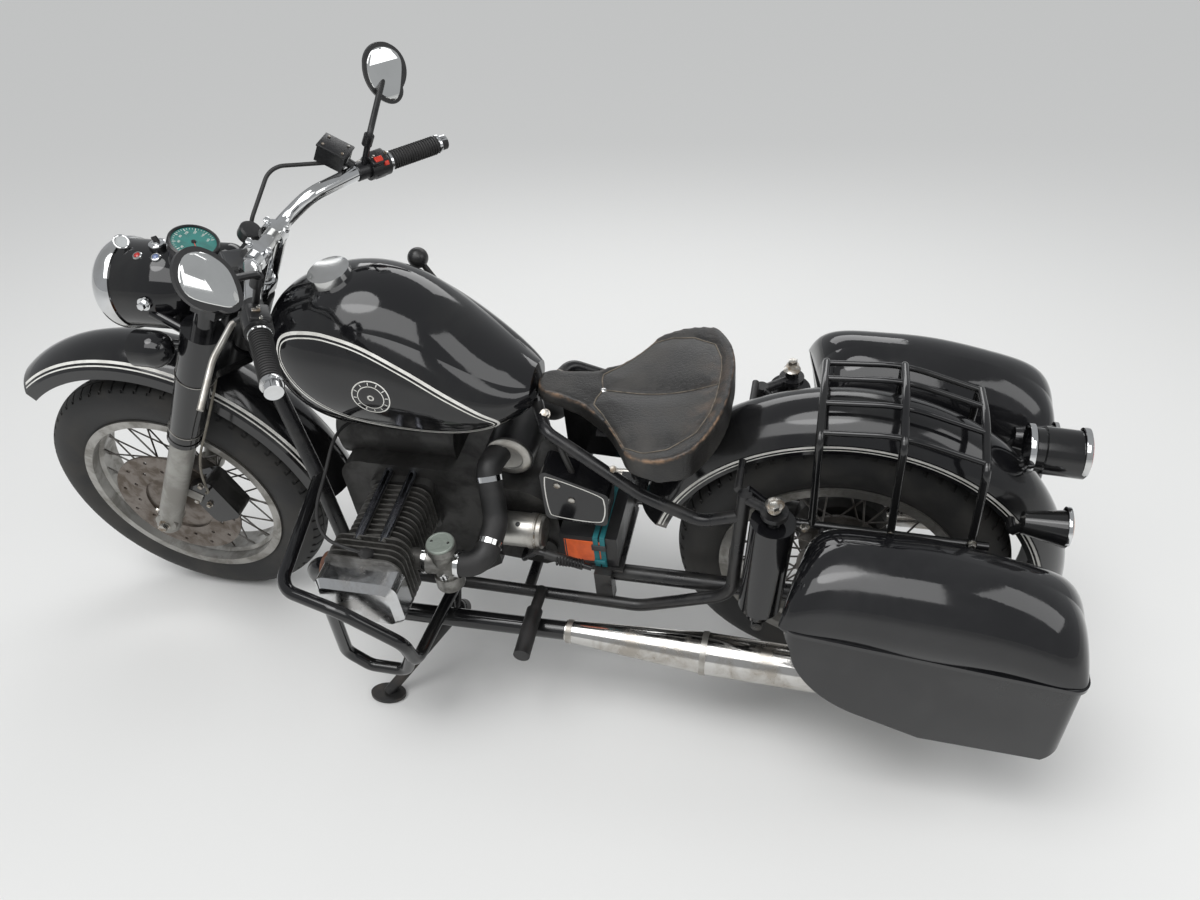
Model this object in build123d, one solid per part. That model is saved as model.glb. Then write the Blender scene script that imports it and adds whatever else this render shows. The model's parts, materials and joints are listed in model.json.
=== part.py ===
from build123d import *
import math
import os

# A boxer-twin motorcycle with hard panniers, leaning on its side stand. Millimetres, +Z up.
# It is drawn standing upright: +X forward, +Y to the rider's left, x = 0 at the rear axle and
# z = 0 at the floor. At the end the whole machine leans over, and the origin moves to the middle
# of its footprint.

# Stance, wheels and clearances
wheelbase = 1516.0
lean = 13.0
rake = 29.0
fork_offset = 52.0
tyre_radius = 335.0
tyre_half_width = 54.0
tyre_wall = 9.0
rim_flange_radius = 243.0
rim_half_width = 47.0
rim_bead_radius = 229.0
rim_well_radius = 216.0
rim_well_half = 14.0
rim_wall = 5.0
spoke_pairs = 20
spoke_radius = 2.0
spoke_cross = 24.0
axle_radius = 12.0
running_gap = 0.3
seat_gap = 0.3
moving_gap = 6.0

# Hubs and front brake
front_hub_radius = 36.0
rear_hub_radius = 62.0
flange_rise = 36.0
rear_flange_rise = 22.0
flange_y = 33.0
flange_thickness = 6.0
hub_half_length = 56.0
disc_y = 62.0
disc_thickness = 5.0
disc_radius = 152.0
disc_inner_radius = 82.0
carrier_radius = 88.0
disc_holes = 24
disc_hole_radius = 4.5
disc_rings = (106.0, 134.0)
pad_gap = 2.0
caliper_size = (78.0, 118.0)
caliper_y = (38.0, 94.0)
caliper_reach = 84.0
caliper_height = 104.0

# Front fork, drawn about the steering axis: (forward, left, up along the axis)
fork_half_span = 107.0
slider_radius = 27.0
slider_top = 322.0
slider_foot = -30.0
axle_clamp_radius = 25.0
axle_clamp_half = 22.0
cover_bottom = 312.0
cover_top = 652.0
cover_bottom_radius = 33.0
cover_top_radius = 40.0
cover_lip = 12.0
leg_top_radius = 21.0
stem_radius = 15.0
head_radius = 29.0
head_bottom = 556.0
head_top = 700.0
lower_yoke_thickness = 26.0
upper_yoke_thickness = 22.0
yoke_tip = 20.0
stem_nut_radius = 19.0
stem_nut_height = 18.0

# Handlebar, drawn about the steering axis
bar_radius = 15.0
bar_end_radius = 11.0
bar_forward = 8.0
bar_height = 816.0
bar_middle = (bar_forward, 82.0, bar_height)
bar_shoulder = (-16.0, 118.0, 869.0)
bar_bend = (-64.0, 222.0, 888.0)
bar_end = (-177.0, 398.0, 924.0)
bar_bends = (70.0, 46.0, 46.0, 70.0)
clamp_half_span = 36.0
clamp_length = 26.0
clamp_wall = 9.0
riser_radius = 17.0
grip_radius = 17.0
grip_length = 122.0
grip_cap = 22.0
switch_radius = 24.0
switch_length = 44.0
perch_radius = 18.0
perch_length = 26.0
lever_radius = 5.5
lever_knee = (-50.0, 262.0, 874.0)
lever_middle = (-54.0, 330.0, 852.0)
lever_tip = (-76.0, 405.0, 817.0)
fluid_box = (56.0, 44.0, 34.0)
fluid_box_centre = (-14.0, -214.0, 908.0)

# Mirrors, drawn about the steering axis
mirror_centre = (-37.0, 352.0, 1033.0)
mirror_depth = 16.0
mirror_back_share = 0.82
mirror_rise = 66.0
mirror_stem_radius = 6.0
left_mirror_aim = (-0.54, 0.22, 0.78)
right_mirror_aim = (-0.54, 0.60, 0.58)

# Headlamp, speedometer and front indicators
lamp_rear_x = 1230.0
lamp_front_x = 1396.0
lamp_z = 923.0
lamp_radius = 86.0
lamp_rim_depth = 48.0
lamp_rim_lip = 16.0
reflector_depth = 58.0
lens_bulge = 14.0
lens_set_back = 14.0
meter_top = (1233.0, 0.0, 1020.0)
meter_tilt = 24.8
meter_radius = 43.0
meter_depth = 46.0
meter_bezel = 4.0
switch_knob = (1312.0, 0.0, 1004.0)
switch_knob_radius = 17.0
indicator_x = (1252.0, 1324.0)
indicator_y = 150.0
indicator_z = 884.0
indicator_radius = 35.0

# Fenders: sections in (across, from the fender's own middle)
front_fender_offset = (-8.0, 15.0)
fender_clearance = 95.0
fender_crown = tyre_radius + fender_clearance
fender_knee = fender_crown - 35.0
fender_edge = fender_crown - 60.0
fender_wall = 3.0
front_fender_half = 71.0
rear_fender_half = 76.0
rear_fender_knee = fender_crown - 44.0
rear_fender_edge = fender_crown - 66.0
front_fender_angles = (51.0, 172.0)
rear_fender_angles = (18.0, 192.0)

# Frame
head_x_back = 8.0
tube_radius = 16.0
spine_radius = 19.0
rail_radius = 13.0
rail_y = 150.0
rail_z = 290.0
spine_end = (602.0, 0.0, 704.0)
pivot_x = 470.0
pivot_z = 335.0
pivot_half = 120.0
arm_y = 112.0
arm_radius = 18.0
arm_drop = 2.0
arm_end_x = 40.0
drive_shaft_radius = 22.0

# Shock absorbers
shock_y = 186.0
shock_radius = 41.0
shock_top = (126.0, 640.0)
shock_foot_x = 148.0
shock_pin_radius = 13.0

# Tank, cap and saddle
cap_radius = 40.0
cap_height = 24.0
cap_seat = (962.0, 10.0, 974.0)
neck_radius = 26.0
saddle_floor = 700.0
pan_thickness = 8.0
tray_thickness = 8.0
stay_angle = 26.0

# Engine and gearbox
cylinder_x = 868.0
cylinder_z = 484.0
cylinder_stagger = 19.0
case_half = 100.0
flange_end = 118.0
barrel_start = 124.0
barrel_end = 262.0
head_end = 330.0
fin_count = 16
fin_thickness = 3.4
fin_size = (158.0, 150.0)
fin_corner = 30.0
barrel_share = 0.84
liner_radius = 54.0
rocker_end = 386.0
rocker_size = (168.0, 116.0)
rocker_bevel = 14.0
pushrod_radius = 9.0
pushrod_half_span = 26.0
generator_radius = 64.0
generator_z = 596.0
gearbox_half = 92.0
starter_radius = 35.5
starter_y = 128.0
starter_z = 456.0
starter_x = (586.0, 690.0)

# Intake and exhaust
intake_y = 256.0
intake_z = 484.0
intake_reach = 92.0
carburettor_length = 74.0
carburettor_radius = 26.0
bowl_radius = 29.0
hose_radius = 25.0
cleaner_radius = 50.0
exhaust_port_y = 296.0
exhaust_port_z = 476.0
exhaust_reach = 96.0
pipe_radius = 20.0
silencer_start = (540.0, 226.0, 262.0)
silencer_end = (-330.0, 240.0, 240.0)
silencer_radius = 43.0
silencer_neck = 23.0
silencer_cone = 292.0

# Foot pegs
peg_root = (606.0, 154.0, 298.0)
peg_elbow = (606.0, 214.0, 302.0)
peg_end = (602.0, 330.0, 306.0)
peg_radius = 17.0

# Panniers
pannier_front = 100.0
pannier_front_inner = 57.0
pannier_rear = -400.0
pannier_inner = 176.0
pannier_outer = 386.0
pannier_wall = 4.0
pannier_corner = 26.0
seam_front_z = 572.0
seam_rear_z = 506.0
seam_gap = 0.8
lip_height = 9.0
lip_proud = 3.0
bin_inset = 3.0
bracket_y = 160.0
bracket_radius = 8.0
lid_base = 2.0
lip_inset = 2.5
lid_rows = (
    # x on the inner side, x on the outer side, inset of both sides, height
    (57.0, 100.0, 14.0, 30.0),
    (44.0, 86.0, 2.0, 76.0),
    (4.0, 36.0, 0.0, 112.0),
    (-90.0, -74.0, 0.0, 131.0),
    (-210.0, -206.0, 0.0, 133.0),
    (-320.0, -320.0, 0.0, 114.0),
    (-380.0, -380.0, 2.0, 76.0),
    (-400.0, -400.0, 14.0, 30.0),
)

# Luggage rack
rack_bows = ((60.0, 762.0), (-80.0, 766.0), (-220.0, 722.0))
bow_radius = 7.5
rack_rod_ys = (-96.0, -34.0, 34.0, 96.0)
bow_half = 112.0
bow_rise = 26.0
rack_rod_radius = 5.5
rack_foot_y = 132.0
rack_foot_z = 566.0

# Tail lamp and rear indicators
tail_x = -302.0
tail_z = 682.0
tail_radius = 43.0
tail_length = 96.0
rear_light_x = (-299.0, -373.0)
rear_light_y = 110.0
rear_light_z = 606.0

# Crash bars, side stand, sidecar lugs, reverse lever and cables
crash_bar_radius = 13.0
guard_points = ((1064.0, 122.0, 548.0), (1042.0, 386.0, 510.0), (905.0, 416.0, 502.0), (806.0, 402.0, 400.0),
                (806.0, 384.0, 314.0), (800.0, 156.0, 288.0))
guard_bends = (50.0, 60.0, 50.0, 40.0)
guard_loop_points = ((925.0, 411.0, 500.0), (950.0, 390.0, 330.0), (910.0, 386.0, 284.0), (832.0, 386.0, 284.0),
                     (806.0, 391.0, 350.0))
guard_loop_bends = (40.0, 26.0, 26.0)
lever_ball = (876.0, -176.0, 896.0)
lever_ball_radius = 21.0
cable_radius = 4.0
stand_pivot = (800.0, 168.0, 214.0)
stand_foot_x = 946.0
stand_foot_y = 324.0
stand_radius = 12.0
stand_pin_radius = 8.0
stand_axis_tilt = 38.3
foot_thickness = 7.0
lug_bore_radius = 7.0
lug_bore_inset = 15.0
lug_xs = (930.0, 440.0)
lug_zs = (288.0, 279.0)
lug_outer_y = 188.0
lug_half = 17.0

UP_Y = Vector(0, 1, 0)
rear_axle = Vector(0, 0, tyre_radius)
front_axle = Vector(wheelbase, 0, tyre_radius)
stand_axis = Vector(0, math.sin(math.radians(stand_axis_tilt)), math.cos(math.radians(stand_axis_tilt)))
nodes = {}


def keep(name, *shapes):
    """File the solids of some shapes under a node's name."""
    solids = []
    for shape in shapes:
        solids.extend(shape.solids())
    nodes[name] = Compound(solids)


def joined(*shapes):
    """Fuse shapes into one."""
    return Part() + list(shapes)


def rod(start, end, radius):
    """A round bar between two points."""
    foot = Vector(*start)
    run = Vector(*end) - foot
    return Solid.make_cylinder(radius, run.length, Plane(origin=foot, z_dir=run))


def cone(start, end, start_radius, end_radius):
    """A tapered round bar between two points."""
    foot = Vector(*start)
    run = Vector(*end) - foot
    return Solid.make_cone(start_radius, end_radius, run.length, Plane(origin=foot, z_dir=run))


def bent_tube(points, bends, radius):
    """A round tube along straight runs joined by tangent arcs."""
    path = FilletPolyline(*points, radius=bends)
    return sweep(Plane(origin=path @ 0, z_dir=path % 0) * Circle(radius), path=path)


def block(low, high):
    """A box between two corners."""
    size = Vector(*high) - Vector(*low)
    return Pos(*low) * Box(size.X, size.Y, size.Z, align=(Align.MIN, Align.MIN, Align.MIN))


def outline(start, *legs):
    """A closed flat outline: a leg is an end point, or a (middle, end) pair for an arc."""
    edges = []
    here = start
    for leg in legs:
        if isinstance(leg[0], tuple):
            edges.append(ThreePointArc(here, leg[0], leg[1]))
            here = leg[1]
        else:
            edges.append(Line(here, leg))
            here = leg
    if here != start:
        edges.append(Line(here, start))
    return make_face(edges)


def side_view(face, y_one, y_other):
    """Extrude an outline drawn in (x, z) between two values of y."""
    y_low, y_high = sorted((y_one, y_other))
    plane = Plane(origin=(0, y_high, 0), x_dir=(1, 0, 0), z_dir=(0, -1, 0))
    return extrude(plane * face, y_high - y_low, dir=(0, -1, 0))


def plan_view(face, z_low, z_high):
    """Extrude an outline drawn in (x, y) between two values of z."""
    return extrude(Plane(origin=(0, 0, z_low)) * face, z_high - z_low, dir=(0, 0, 1))


def turned(face, axle, angle=360.0):
    """Revolve a section drawn in (y, radius) about an axle."""
    plane = Plane(origin=axle, x_dir=(0, 1, 0), z_dir=(1, 0, 0))
    return revolve(plane * face, axis=Axis(axle, UP_Y), revolution_arc=angle)


def turned_along(start, end, section):
    """Revolve a section of (radius, distance) points about the line from start to end."""
    plane = Plane(origin=Vector(*start), z_dir=Vector(*end) - Vector(*start))
    return plane.location * revolve(Plane.XZ * Polygon(*section, align=None), axis=Axis.Z)


# Steering frame: local x forward, y left and z up along the steering axis
rake_sine = math.sin(math.radians(rake))
rake_cosine = math.cos(math.radians(rake))
steer_origin = front_axle - Vector(rake_cosine, 0, rake_sine) * fork_offset
steer_axis = Vector(-rake_sine, 0, rake_cosine)
steer_plane = Plane(origin=steer_origin, x_dir=(rake_cosine, 0, rake_sine), z_dir=steer_axis)


def steered(shape):
    """Place a shape drawn about the steering axis."""
    return steer_plane.location * shape


def steered_point(forward, left, up):
    """A point given about the steering axis."""
    return steer_plane.from_local_coords(Vector(forward, left, up))


def sided(point, side):
    """A point of the left side, or its twin on the right when side is -1."""
    return Vector(point[0], side * point[1], point[2])


# Wheels: tyre, well-base rim, and a hub with crossed spokes
def tyre_section():
    bead_y = rim_half_width - rim_wall - seat_gap
    bead_r = rim_bead_radius + seat_gap
    lip_r = rim_flange_radius + 1.5
    side_r = 0.5 * (lip_r + tyre_radius) - 4.0
    crown_y = 0.62 * tyre_half_width
    crown_r = tyre_radius - tyre_wall
    hollow_y = crown_y - 6.0
    outer = outline(
        (-bead_y, bead_r),
        (-bead_y, lip_r),
        ((-tyre_half_width, side_r), (-crown_y, crown_r)),
        ((0.0, tyre_radius), (crown_y, crown_r)),
        ((tyre_half_width, side_r), (bead_y, lip_r)),
        (bead_y, bead_r),
    )
    inner = outline(
        (-bead_y + tyre_wall, bead_r - 1.0),
        (-bead_y + tyre_wall, lip_r),
        ((-tyre_half_width + tyre_wall, side_r), (-hollow_y, crown_r - tyre_wall)),
        ((0.0, tyre_radius - tyre_wall), (hollow_y, crown_r - tyre_wall)),
        ((tyre_half_width - tyre_wall, side_r), (bead_y - tyre_wall, lip_r)),
        (bead_y - tyre_wall, bead_r - 1.0),
    )
    return outer - inner


def rim_section():
    bead_y = rim_half_width - rim_wall
    under = rim_bead_radius - rim_wall
    knee = rim_well_half + 6.0
    return Polygon(
        (-rim_half_width, rim_flange_radius),
        (-rim_half_width, under),
        (-knee, under),
        (-rim_well_half, rim_well_radius),
        (rim_well_half, rim_well_radius),
        (knee, under),
        (rim_half_width, under),
        (rim_half_width, rim_flange_radius),
        (bead_y, rim_flange_radius),
        (bead_y, rim_bead_radius),
        (knee + 2.0, rim_bead_radius),
        (rim_well_half, rim_well_radius + rim_wall),
        (-rim_well_half, rim_well_radius + rim_wall),
        (-knee - 2.0, rim_bead_radius),
        (-bead_y, rim_bead_radius),
        (-bead_y, rim_flange_radius),
        align=None,
    )


def hub_section(drum_radius, rise):
    bore = axle_radius + running_gap
    inner = flange_y - 0.5 * flange_thickness
    outer = flange_y + 0.5 * flange_thickness
    return Polygon(
        (-hub_half_length, bore),
        (-hub_half_length, drum_radius),
        (-outer, drum_radius),
        (-outer, drum_radius + rise),
        (-inner, drum_radius + rise),
        (-inner, drum_radius),
        (inner, drum_radius),
        (inner, drum_radius + rise),
        (outer, drum_radius + rise),
        (outer, drum_radius),
        (hub_half_length, drum_radius),
        (hub_half_length, bore),
        align=None,
    )


def spokes(axle, flange_radius):
    """Crossed spokes from both hub flanges to the rim's well."""
    bars = []
    reach = rim_well_radius - seat_gap
    for number in range(spoke_pairs):
        for side in (-1, 1):
            outer = math.radians(360.0 / spoke_pairs * (number + 0.25 * (1 + side)))
            inner = outer + math.radians(spoke_cross if number % 2 else -spoke_cross)
            start = axle + Vector(flange_radius * math.cos(inner), side * flange_y,
                                  flange_radius * math.sin(inner))
            end = axle + Vector(reach * math.cos(outer), side * 8.0, reach * math.sin(outer))
            bars.append(rod(start, end, spoke_radius))
    return bars


for place, axle, drum, rise in (("front", front_axle, front_hub_radius, flange_rise),
                                ("rear", rear_axle, rear_hub_radius, rear_flange_rise)):
    keep(place + "_tyre", turned(tyre_section(), axle))
    keep(place + "_rim", turned(rim_section(), axle))
    hub = turned(hub_section(drum, rise), axle)
    keep(place + "_hub", joined(hub, *spokes(axle, drum + rise - 5.0)))

# Drilled front disc on its carrier
disc_outer_y = disc_y + disc_thickness
disc = turned(Polygon((disc_y, disc_inner_radius), (disc_outer_y, disc_inner_radius),
                      (disc_outer_y, disc_radius), (disc_y, disc_radius), align=None), front_axle)
drillings = []
for number in range(disc_holes):
    angle = math.radians(360.0 / disc_holes * number)
    ring = disc_rings[number % 2]
    hole = front_axle + Vector(ring * math.cos(angle), disc_y - 1.0, ring * math.sin(angle))
    drillings.append(rod(hole, hole + UP_Y * (disc_thickness + 2.0), disc_hole_radius))
bore = axle_radius + running_gap
carrier = turned(Polygon((hub_half_length, bore), (disc_y, bore), (disc_y, carrier_radius),
                         (hub_half_length, carrier_radius), align=None), front_axle)
keep("front_disc", joined(disc - drillings, carrier))

# Front fork: sliders with the axle, tapered covers, and the two yokes
legs = [rod((fork_offset, -fork_half_span, 0), (fork_offset, fork_half_span, 0), axle_radius)]
covers = []
for side in (-1, 1):
    y = side * fork_half_span
    legs.append(rod((fork_offset, y, slider_foot), (fork_offset, y, slider_top), slider_radius))
    legs.append(rod((fork_offset, y - axle_clamp_half, 0), (fork_offset, y + axle_clamp_half, 0),
                    axle_clamp_radius))
    cover = joined(
        cone((fork_offset, y, cover_bottom), (fork_offset, y, cover_top), cover_bottom_radius,
             cover_top_radius),
        rod((fork_offset, y, cover_bottom), (fork_offset, y, cover_bottom + cover_lip),
            cover_bottom_radius + 2.0))
    covers.append(cover - rod((fork_offset, y, cover_bottom - 1.0), (fork_offset, y, slider_top + 6.0),
                              slider_radius + seat_gap))
caliper_lug = rod((fork_offset, fork_half_span - 18.0, caliper_height),
                  (fork_offset - 60.0, fork_half_span - 18.0, caliper_height), 13.0)
caliper_plane = Plane(origin=(fork_offset - caliper_reach, caliper_y[0], caliper_height),
                      x_dir=(-caliper_reach, 0, caliper_height), z_dir=(0, 1, 0))
caliper = extrude(caliper_plane * RectangleRounded(*caliper_size, 16.0), caliper_y[1] - caliper_y[0],
                  dir=(0, 1, 0))
disc_slot = turned(Polygon((disc_y - pad_gap, 0.0), (disc_outer_y + pad_gap, 0.0),
                           (disc_outer_y + pad_gap, disc_radius + moving_gap),
                           (disc_y - pad_gap, disc_radius + moving_gap), align=None), front_axle)
keep("brake_caliper", steered(caliper) - disc_slot)
keep("fork_sliders", steered(joined(*legs, caliper_lug)) - nodes["brake_caliper"] - disc_slot)
sliders_only = nodes["fork_sliders"]


def yoke(bottom, thickness):
    """A clamp plate that joins the steering stem and both fork legs."""
    reach = fork_half_span + yoke_tip
    back = fork_offset - 24.0
    front = fork_offset + 22.0
    plate = Polygon((-24.0, -20.0), (-24.0, 20.0), (back, reach), (front, reach), (front - 4.0, 30.0),
                    (front - 4.0, -30.0), (front, -reach), (back, -reach), align=None)
    return plan_view(plate, bottom, bottom + thickness)


lower_yoke_bottom = head_bottom - moving_gap - lower_yoke_thickness
upper_yoke_bottom = head_top + moving_gap
upper_yoke_top = upper_yoke_bottom + upper_yoke_thickness
lower_yoke = yoke(lower_yoke_bottom, lower_yoke_thickness) - covers[0] - covers[1]
bar_bore = rod((bar_forward, -bar_middle[1], bar_height), (bar_forward, bar_middle[1], bar_height),
               bar_radius)
yoke_parts = [
    lower_yoke,
    yoke(upper_yoke_bottom, upper_yoke_thickness),
    rod((0, 0, lower_yoke_bottom), (0, 0, upper_yoke_top), stem_radius),
    rod((0, 0, upper_yoke_top), (0, 0, upper_yoke_top + stem_nut_height), stem_nut_radius),
]
for side in (-1, 1):
    leg_y = side * fork_half_span
    clamp_y = side * clamp_half_span
    yoke_parts.append(rod((fork_offset, leg_y, cover_top), (fork_offset, leg_y, upper_yoke_top + 6.0),
                          leg_top_radius))
    yoke_parts.append(rod((0, clamp_y, upper_yoke_top - 2.0), (0, clamp_y, bar_height), riser_radius))
    yoke_parts.append(rod((bar_forward, clamp_y - 0.5 * clamp_length, bar_height),
                          (bar_forward, clamp_y + 0.5 * clamp_length, bar_height),
                          bar_radius + clamp_wall))
keep("fork_yokes", steered(joined(*yoke_parts) - bar_bore))

# Handlebar and grips
bar_points = [sided(bar_bend, -1), sided(bar_shoulder, -1), sided(bar_middle, -1),
              Vector(*bar_middle), Vector(*bar_shoulder), Vector(*bar_bend)]
bar_parts = [bent_tube(bar_points, list(bar_bends), bar_radius)]
grips = []
grip_run = (Vector(*bar_end) - Vector(*bar_bend)).normalized()
for side in (-1, 1):
    run = sided(tuple(grip_run), side)
    bend = sided(bar_bend, side)
    end = sided(bar_end, side)
    cap_start = end - run * grip_cap
    grip_start = cap_start - run * grip_length
    bar_parts.append(rod(bend - run * 6.0, cap_start, bar_end_radius))
    sleeve = rod(grip_start, cap_start, grip_radius) - rod(grip_start - run, cap_start + run, bar_end_radius)
    grips.append(steered(joined(sleeve, rod(cap_start, end, grip_radius - 2.0))))
keep("handlebar", steered(joined(*bar_parts)))
keep("grips", *grips)

# Switch housings, lever perches, levers and the brake fluid box
controls = []
for side in (-1, 1):
    run = sided(tuple(grip_run), side)
    bend = sided(bar_bend, side)
    grip_start = sided(bar_end, side) - run * (grip_cap + grip_length)
    switch_start = grip_start - run * (switch_length + seat_gap)
    perch_start = switch_start - run * perch_length
    parts = [
        rod(switch_start, grip_start - run * seat_gap, switch_radius),
        rod(perch_start, switch_start, perch_radius),
        bent_tube([perch_start + run * 14.0, sided(lever_knee, side), sided(lever_middle, side),
                   sided(lever_tip, side)], [18.0, 90.0], lever_radius),
    ]
    if side < 0:
        centre = Vector(*fluid_box_centre)
        half = Vector(*fluid_box) * 0.5
        parts.append(block(tuple(centre - half), tuple(centre + half)))
        parts.append(rod(centre, perch_start + run * 12.0, 9.0))
    controls.append(steered(joined(*parts)) - nodes["handlebar"])
keep("hand_controls", *controls)

# Mirrors on jointed stems
mirror_set = []
for side, aim in ((-1, right_mirror_aim), (1, left_mirror_aim)):
    run = sided(tuple(grip_run), side)
    centre = sided(mirror_centre, side)
    root = sided(bar_bend, side) + run * 12.0 + Vector(0, 0, perch_radius + seat_gap)
    knee = root + Vector(6.0, side * 2.0, mirror_rise)
    back = centre - Vector(*aim).normalized() * (mirror_depth - 4.0)
    stem = bent_tube([root, knee, back], [22.0], mirror_stem_radius)
    knuckle = rod(knee - Vector(0, 0, 26.0), knee - Vector(0, 0, 4.0), mirror_stem_radius + 4.0)
    head_plane = Plane(origin=centre, x_dir=(0, -1, 0), z_dir=aim)
    teardrop = outline(
        (side * 24.0, -50.0),
        ((side * 44.0, -6.0), (side * 32.0, 38.0)),
        ((0.0, 58.0), (side * -34.0, 42.0)),
        ((side * -46.0, 8.0), (side * -16.0, -38.0)),
        ((side * 4.0, -56.0), (side * 24.0, -50.0)),
    )
    bevel_plane = head_plane.offset(-0.5 * mirror_depth)
    back_plane = head_plane.offset(-mirror_depth)
    head = extrude(head_plane * teardrop, 0.5 * mirror_depth, dir=-head_plane.z_dir)
    back = loft([bevel_plane * teardrop, back_plane * scale(teardrop, by=mirror_back_share)])
    mirror_set.append(steered(joined(stem, knuckle, head, back)) - nodes["hand_controls"])
keep("mirrors", *mirror_set)


# Headlamp, speedometer and bullet indicators
def turned_x(face, z):
    """Revolve a section drawn in (x, radius) about a fore-and-aft line."""
    plane = Plane(origin=(0, 0, z), x_dir=(1, 0, 0), z_dir=(0, -1, 0))
    return revolve(plane * face, axis=Axis((0, 0, z), (1, 0, 0)))


def bullet(rear, front, radius, z):
    """A round nose that runs on as a straight drum towards the front."""
    turn_x = rear + radius
    middle = (turn_x - radius * math.cos(math.pi / 4), radius * math.sin(math.pi / 4))
    return turned_x(outline((rear, 0.0), (middle, (turn_x, radius)), (front, radius), (front, 0.0)), z)


def dome(flat_x, radius, rise, z):
    """A shallow round cap on a flat face, bulging forward, or backward when rise is negative."""
    ball = 0.5 * (radius * radius + rise * rise) / abs(rise)
    centre_x = flat_x + rise - math.copysign(ball, rise)
    half = 0.5 * math.asin(radius / ball)
    middle = (centre_x + math.copysign(ball * math.cos(half), rise), ball * math.sin(half))
    return turned_x(outline((flat_x, 0.0), (flat_x, radius), (middle, (flat_x + rise, 0.0))), z)


meter_axis = Vector(-math.sin(math.radians(meter_tilt)), 0, math.cos(math.radians(meter_tilt)))
meter_seat = Vector(*meter_top)
meter = joined(rod(meter_seat - meter_axis * meter_depth, meter_seat, meter_radius),
               rod(meter_seat - meter_axis * 8.0, meter_seat + meter_axis * 5.0, meter_radius + meter_bezel))
knob = rod(Vector(*switch_knob) - Vector(0, 0, 14.0), Vector(*switch_knob) + Vector(0, 0, 12.0),
           switch_knob_radius)
shell = bullet(lamp_rear_x, lamp_front_x, lamp_radius, lamp_z)
reflector = dome(lamp_front_x, lamp_radius - 8.0, -reflector_depth, lamp_z)
keep("headlamp_shell", shell - reflector - meter - knob)
keep("speedometer", meter, knob)
rim_front = lamp_front_x + lamp_rim_depth
rim_inner = lamp_radius - 18.0
rim_ring = outline((lamp_front_x, lamp_radius - 6.0), (lamp_front_x, lamp_radius + 3.0),
                   ((rim_front - 12.0, lamp_radius - 3.0), (rim_front, lamp_radius - lamp_rim_lip)),
                   (rim_front - 2.0, rim_inner), (rim_front - 24.0, rim_inner),
                   (rim_front - 24.0, lamp_radius - 6.0))
keep("headlamp_rim", turned_x(rim_ring, lamp_z))
lens_radius = rim_inner - seat_gap
lens_x = rim_front - lens_set_back
lens_foot = turned_x(Polygon((lens_x - 8.0, 0.0), (lens_x - 8.0, lens_radius), (lens_x, lens_radius),
                             (lens_x, 0.0), align=None), lamp_z)
keep("headlamp_lens", joined(lens_foot, dome(lens_x, lens_radius, lens_bulge, lamp_z)))
indicators = []
ears = []
for side in (-1, 1):
    body = bullet(indicator_x[0], indicator_x[1], indicator_radius, indicator_z)
    indicators.append(Pos(0, side * indicator_y, 0) * body)
    ears.append(rod(steered_point(fork_offset, side * fork_half_span, 600.0),
                    (indicator_x[0] + 28.0, side * (indicator_y - 20.0), indicator_z), 9.0))
    ears.append(rod(steered_point(fork_offset, side * fork_half_span, 625.0),
                    (lamp_front_x - 76.0, side * (lamp_radius - 6.0), lamp_z - 8.0), 10.0))
keep("front_indicators", *indicators)
cover_set = joined(steered(covers[0]), steered(covers[1]), *ears)
keep("fork_covers", cover_set - nodes["headlamp_shell"] - nodes["front_indicators"])


# Valanced fenders
def fender_section(half_width, edge, knee):
    """A round crown over straight skirts, in (y, radius)."""
    inner = half_width - fender_wall
    return outline(
        (-half_width, edge),
        (-half_width, knee),
        ((0.0, fender_crown), (half_width, knee)),
        (half_width, edge),
        (inner, edge),
        (inner, knee),
        ((0.0, fender_crown - fender_wall), (-inner, knee)),
        (-inner, edge),
    )


def fender(middle, section, angles):
    """Sweep the section round the wheel between two angles above the forward line."""
    arc = turned(section, middle, angles[1] - angles[0])
    return arc.rotate(Axis(middle, UP_Y), 90.0 - angles[1])


def fender_arc(half_width, knee):
    """Radius of the crown across the fender."""
    drop = fender_crown - knee
    return 0.5 * (half_width * half_width + drop * drop) / drop


front_middle = front_axle + Vector(front_fender_offset[0], 0, front_fender_offset[1])
front_fender = fender(front_middle, fender_section(front_fender_half, fender_edge, fender_knee),
                      front_fender_angles)
fender_parts = [front_fender]
for side in (-1, 1):
    inner = side * (front_fender_half - fender_wall)
    low_y, high_y = sorted((inner, side * front_fender_half))
    strap_foot = slider_top - 34.0
    strap = block((fork_offset - 14.0, low_y, strap_foot), (fork_offset + 14.0, high_y, fender_edge + 36.0))
    boss = rod((fork_offset, inner, slider_top - 20.0),
               (fork_offset, side * (fork_half_span - 20.0), slider_top - 20.0), 10.0)
    fender_parts.append(steered(joined(strap, boss)) - sliders_only)
keep("front_fender", joined(*fender_parts))
rear_fender = fender(rear_axle, fender_section(rear_fender_half, rear_fender_edge, rear_fender_knee),
                     rear_fender_angles)
keep("rear_fender", rear_fender)

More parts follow.
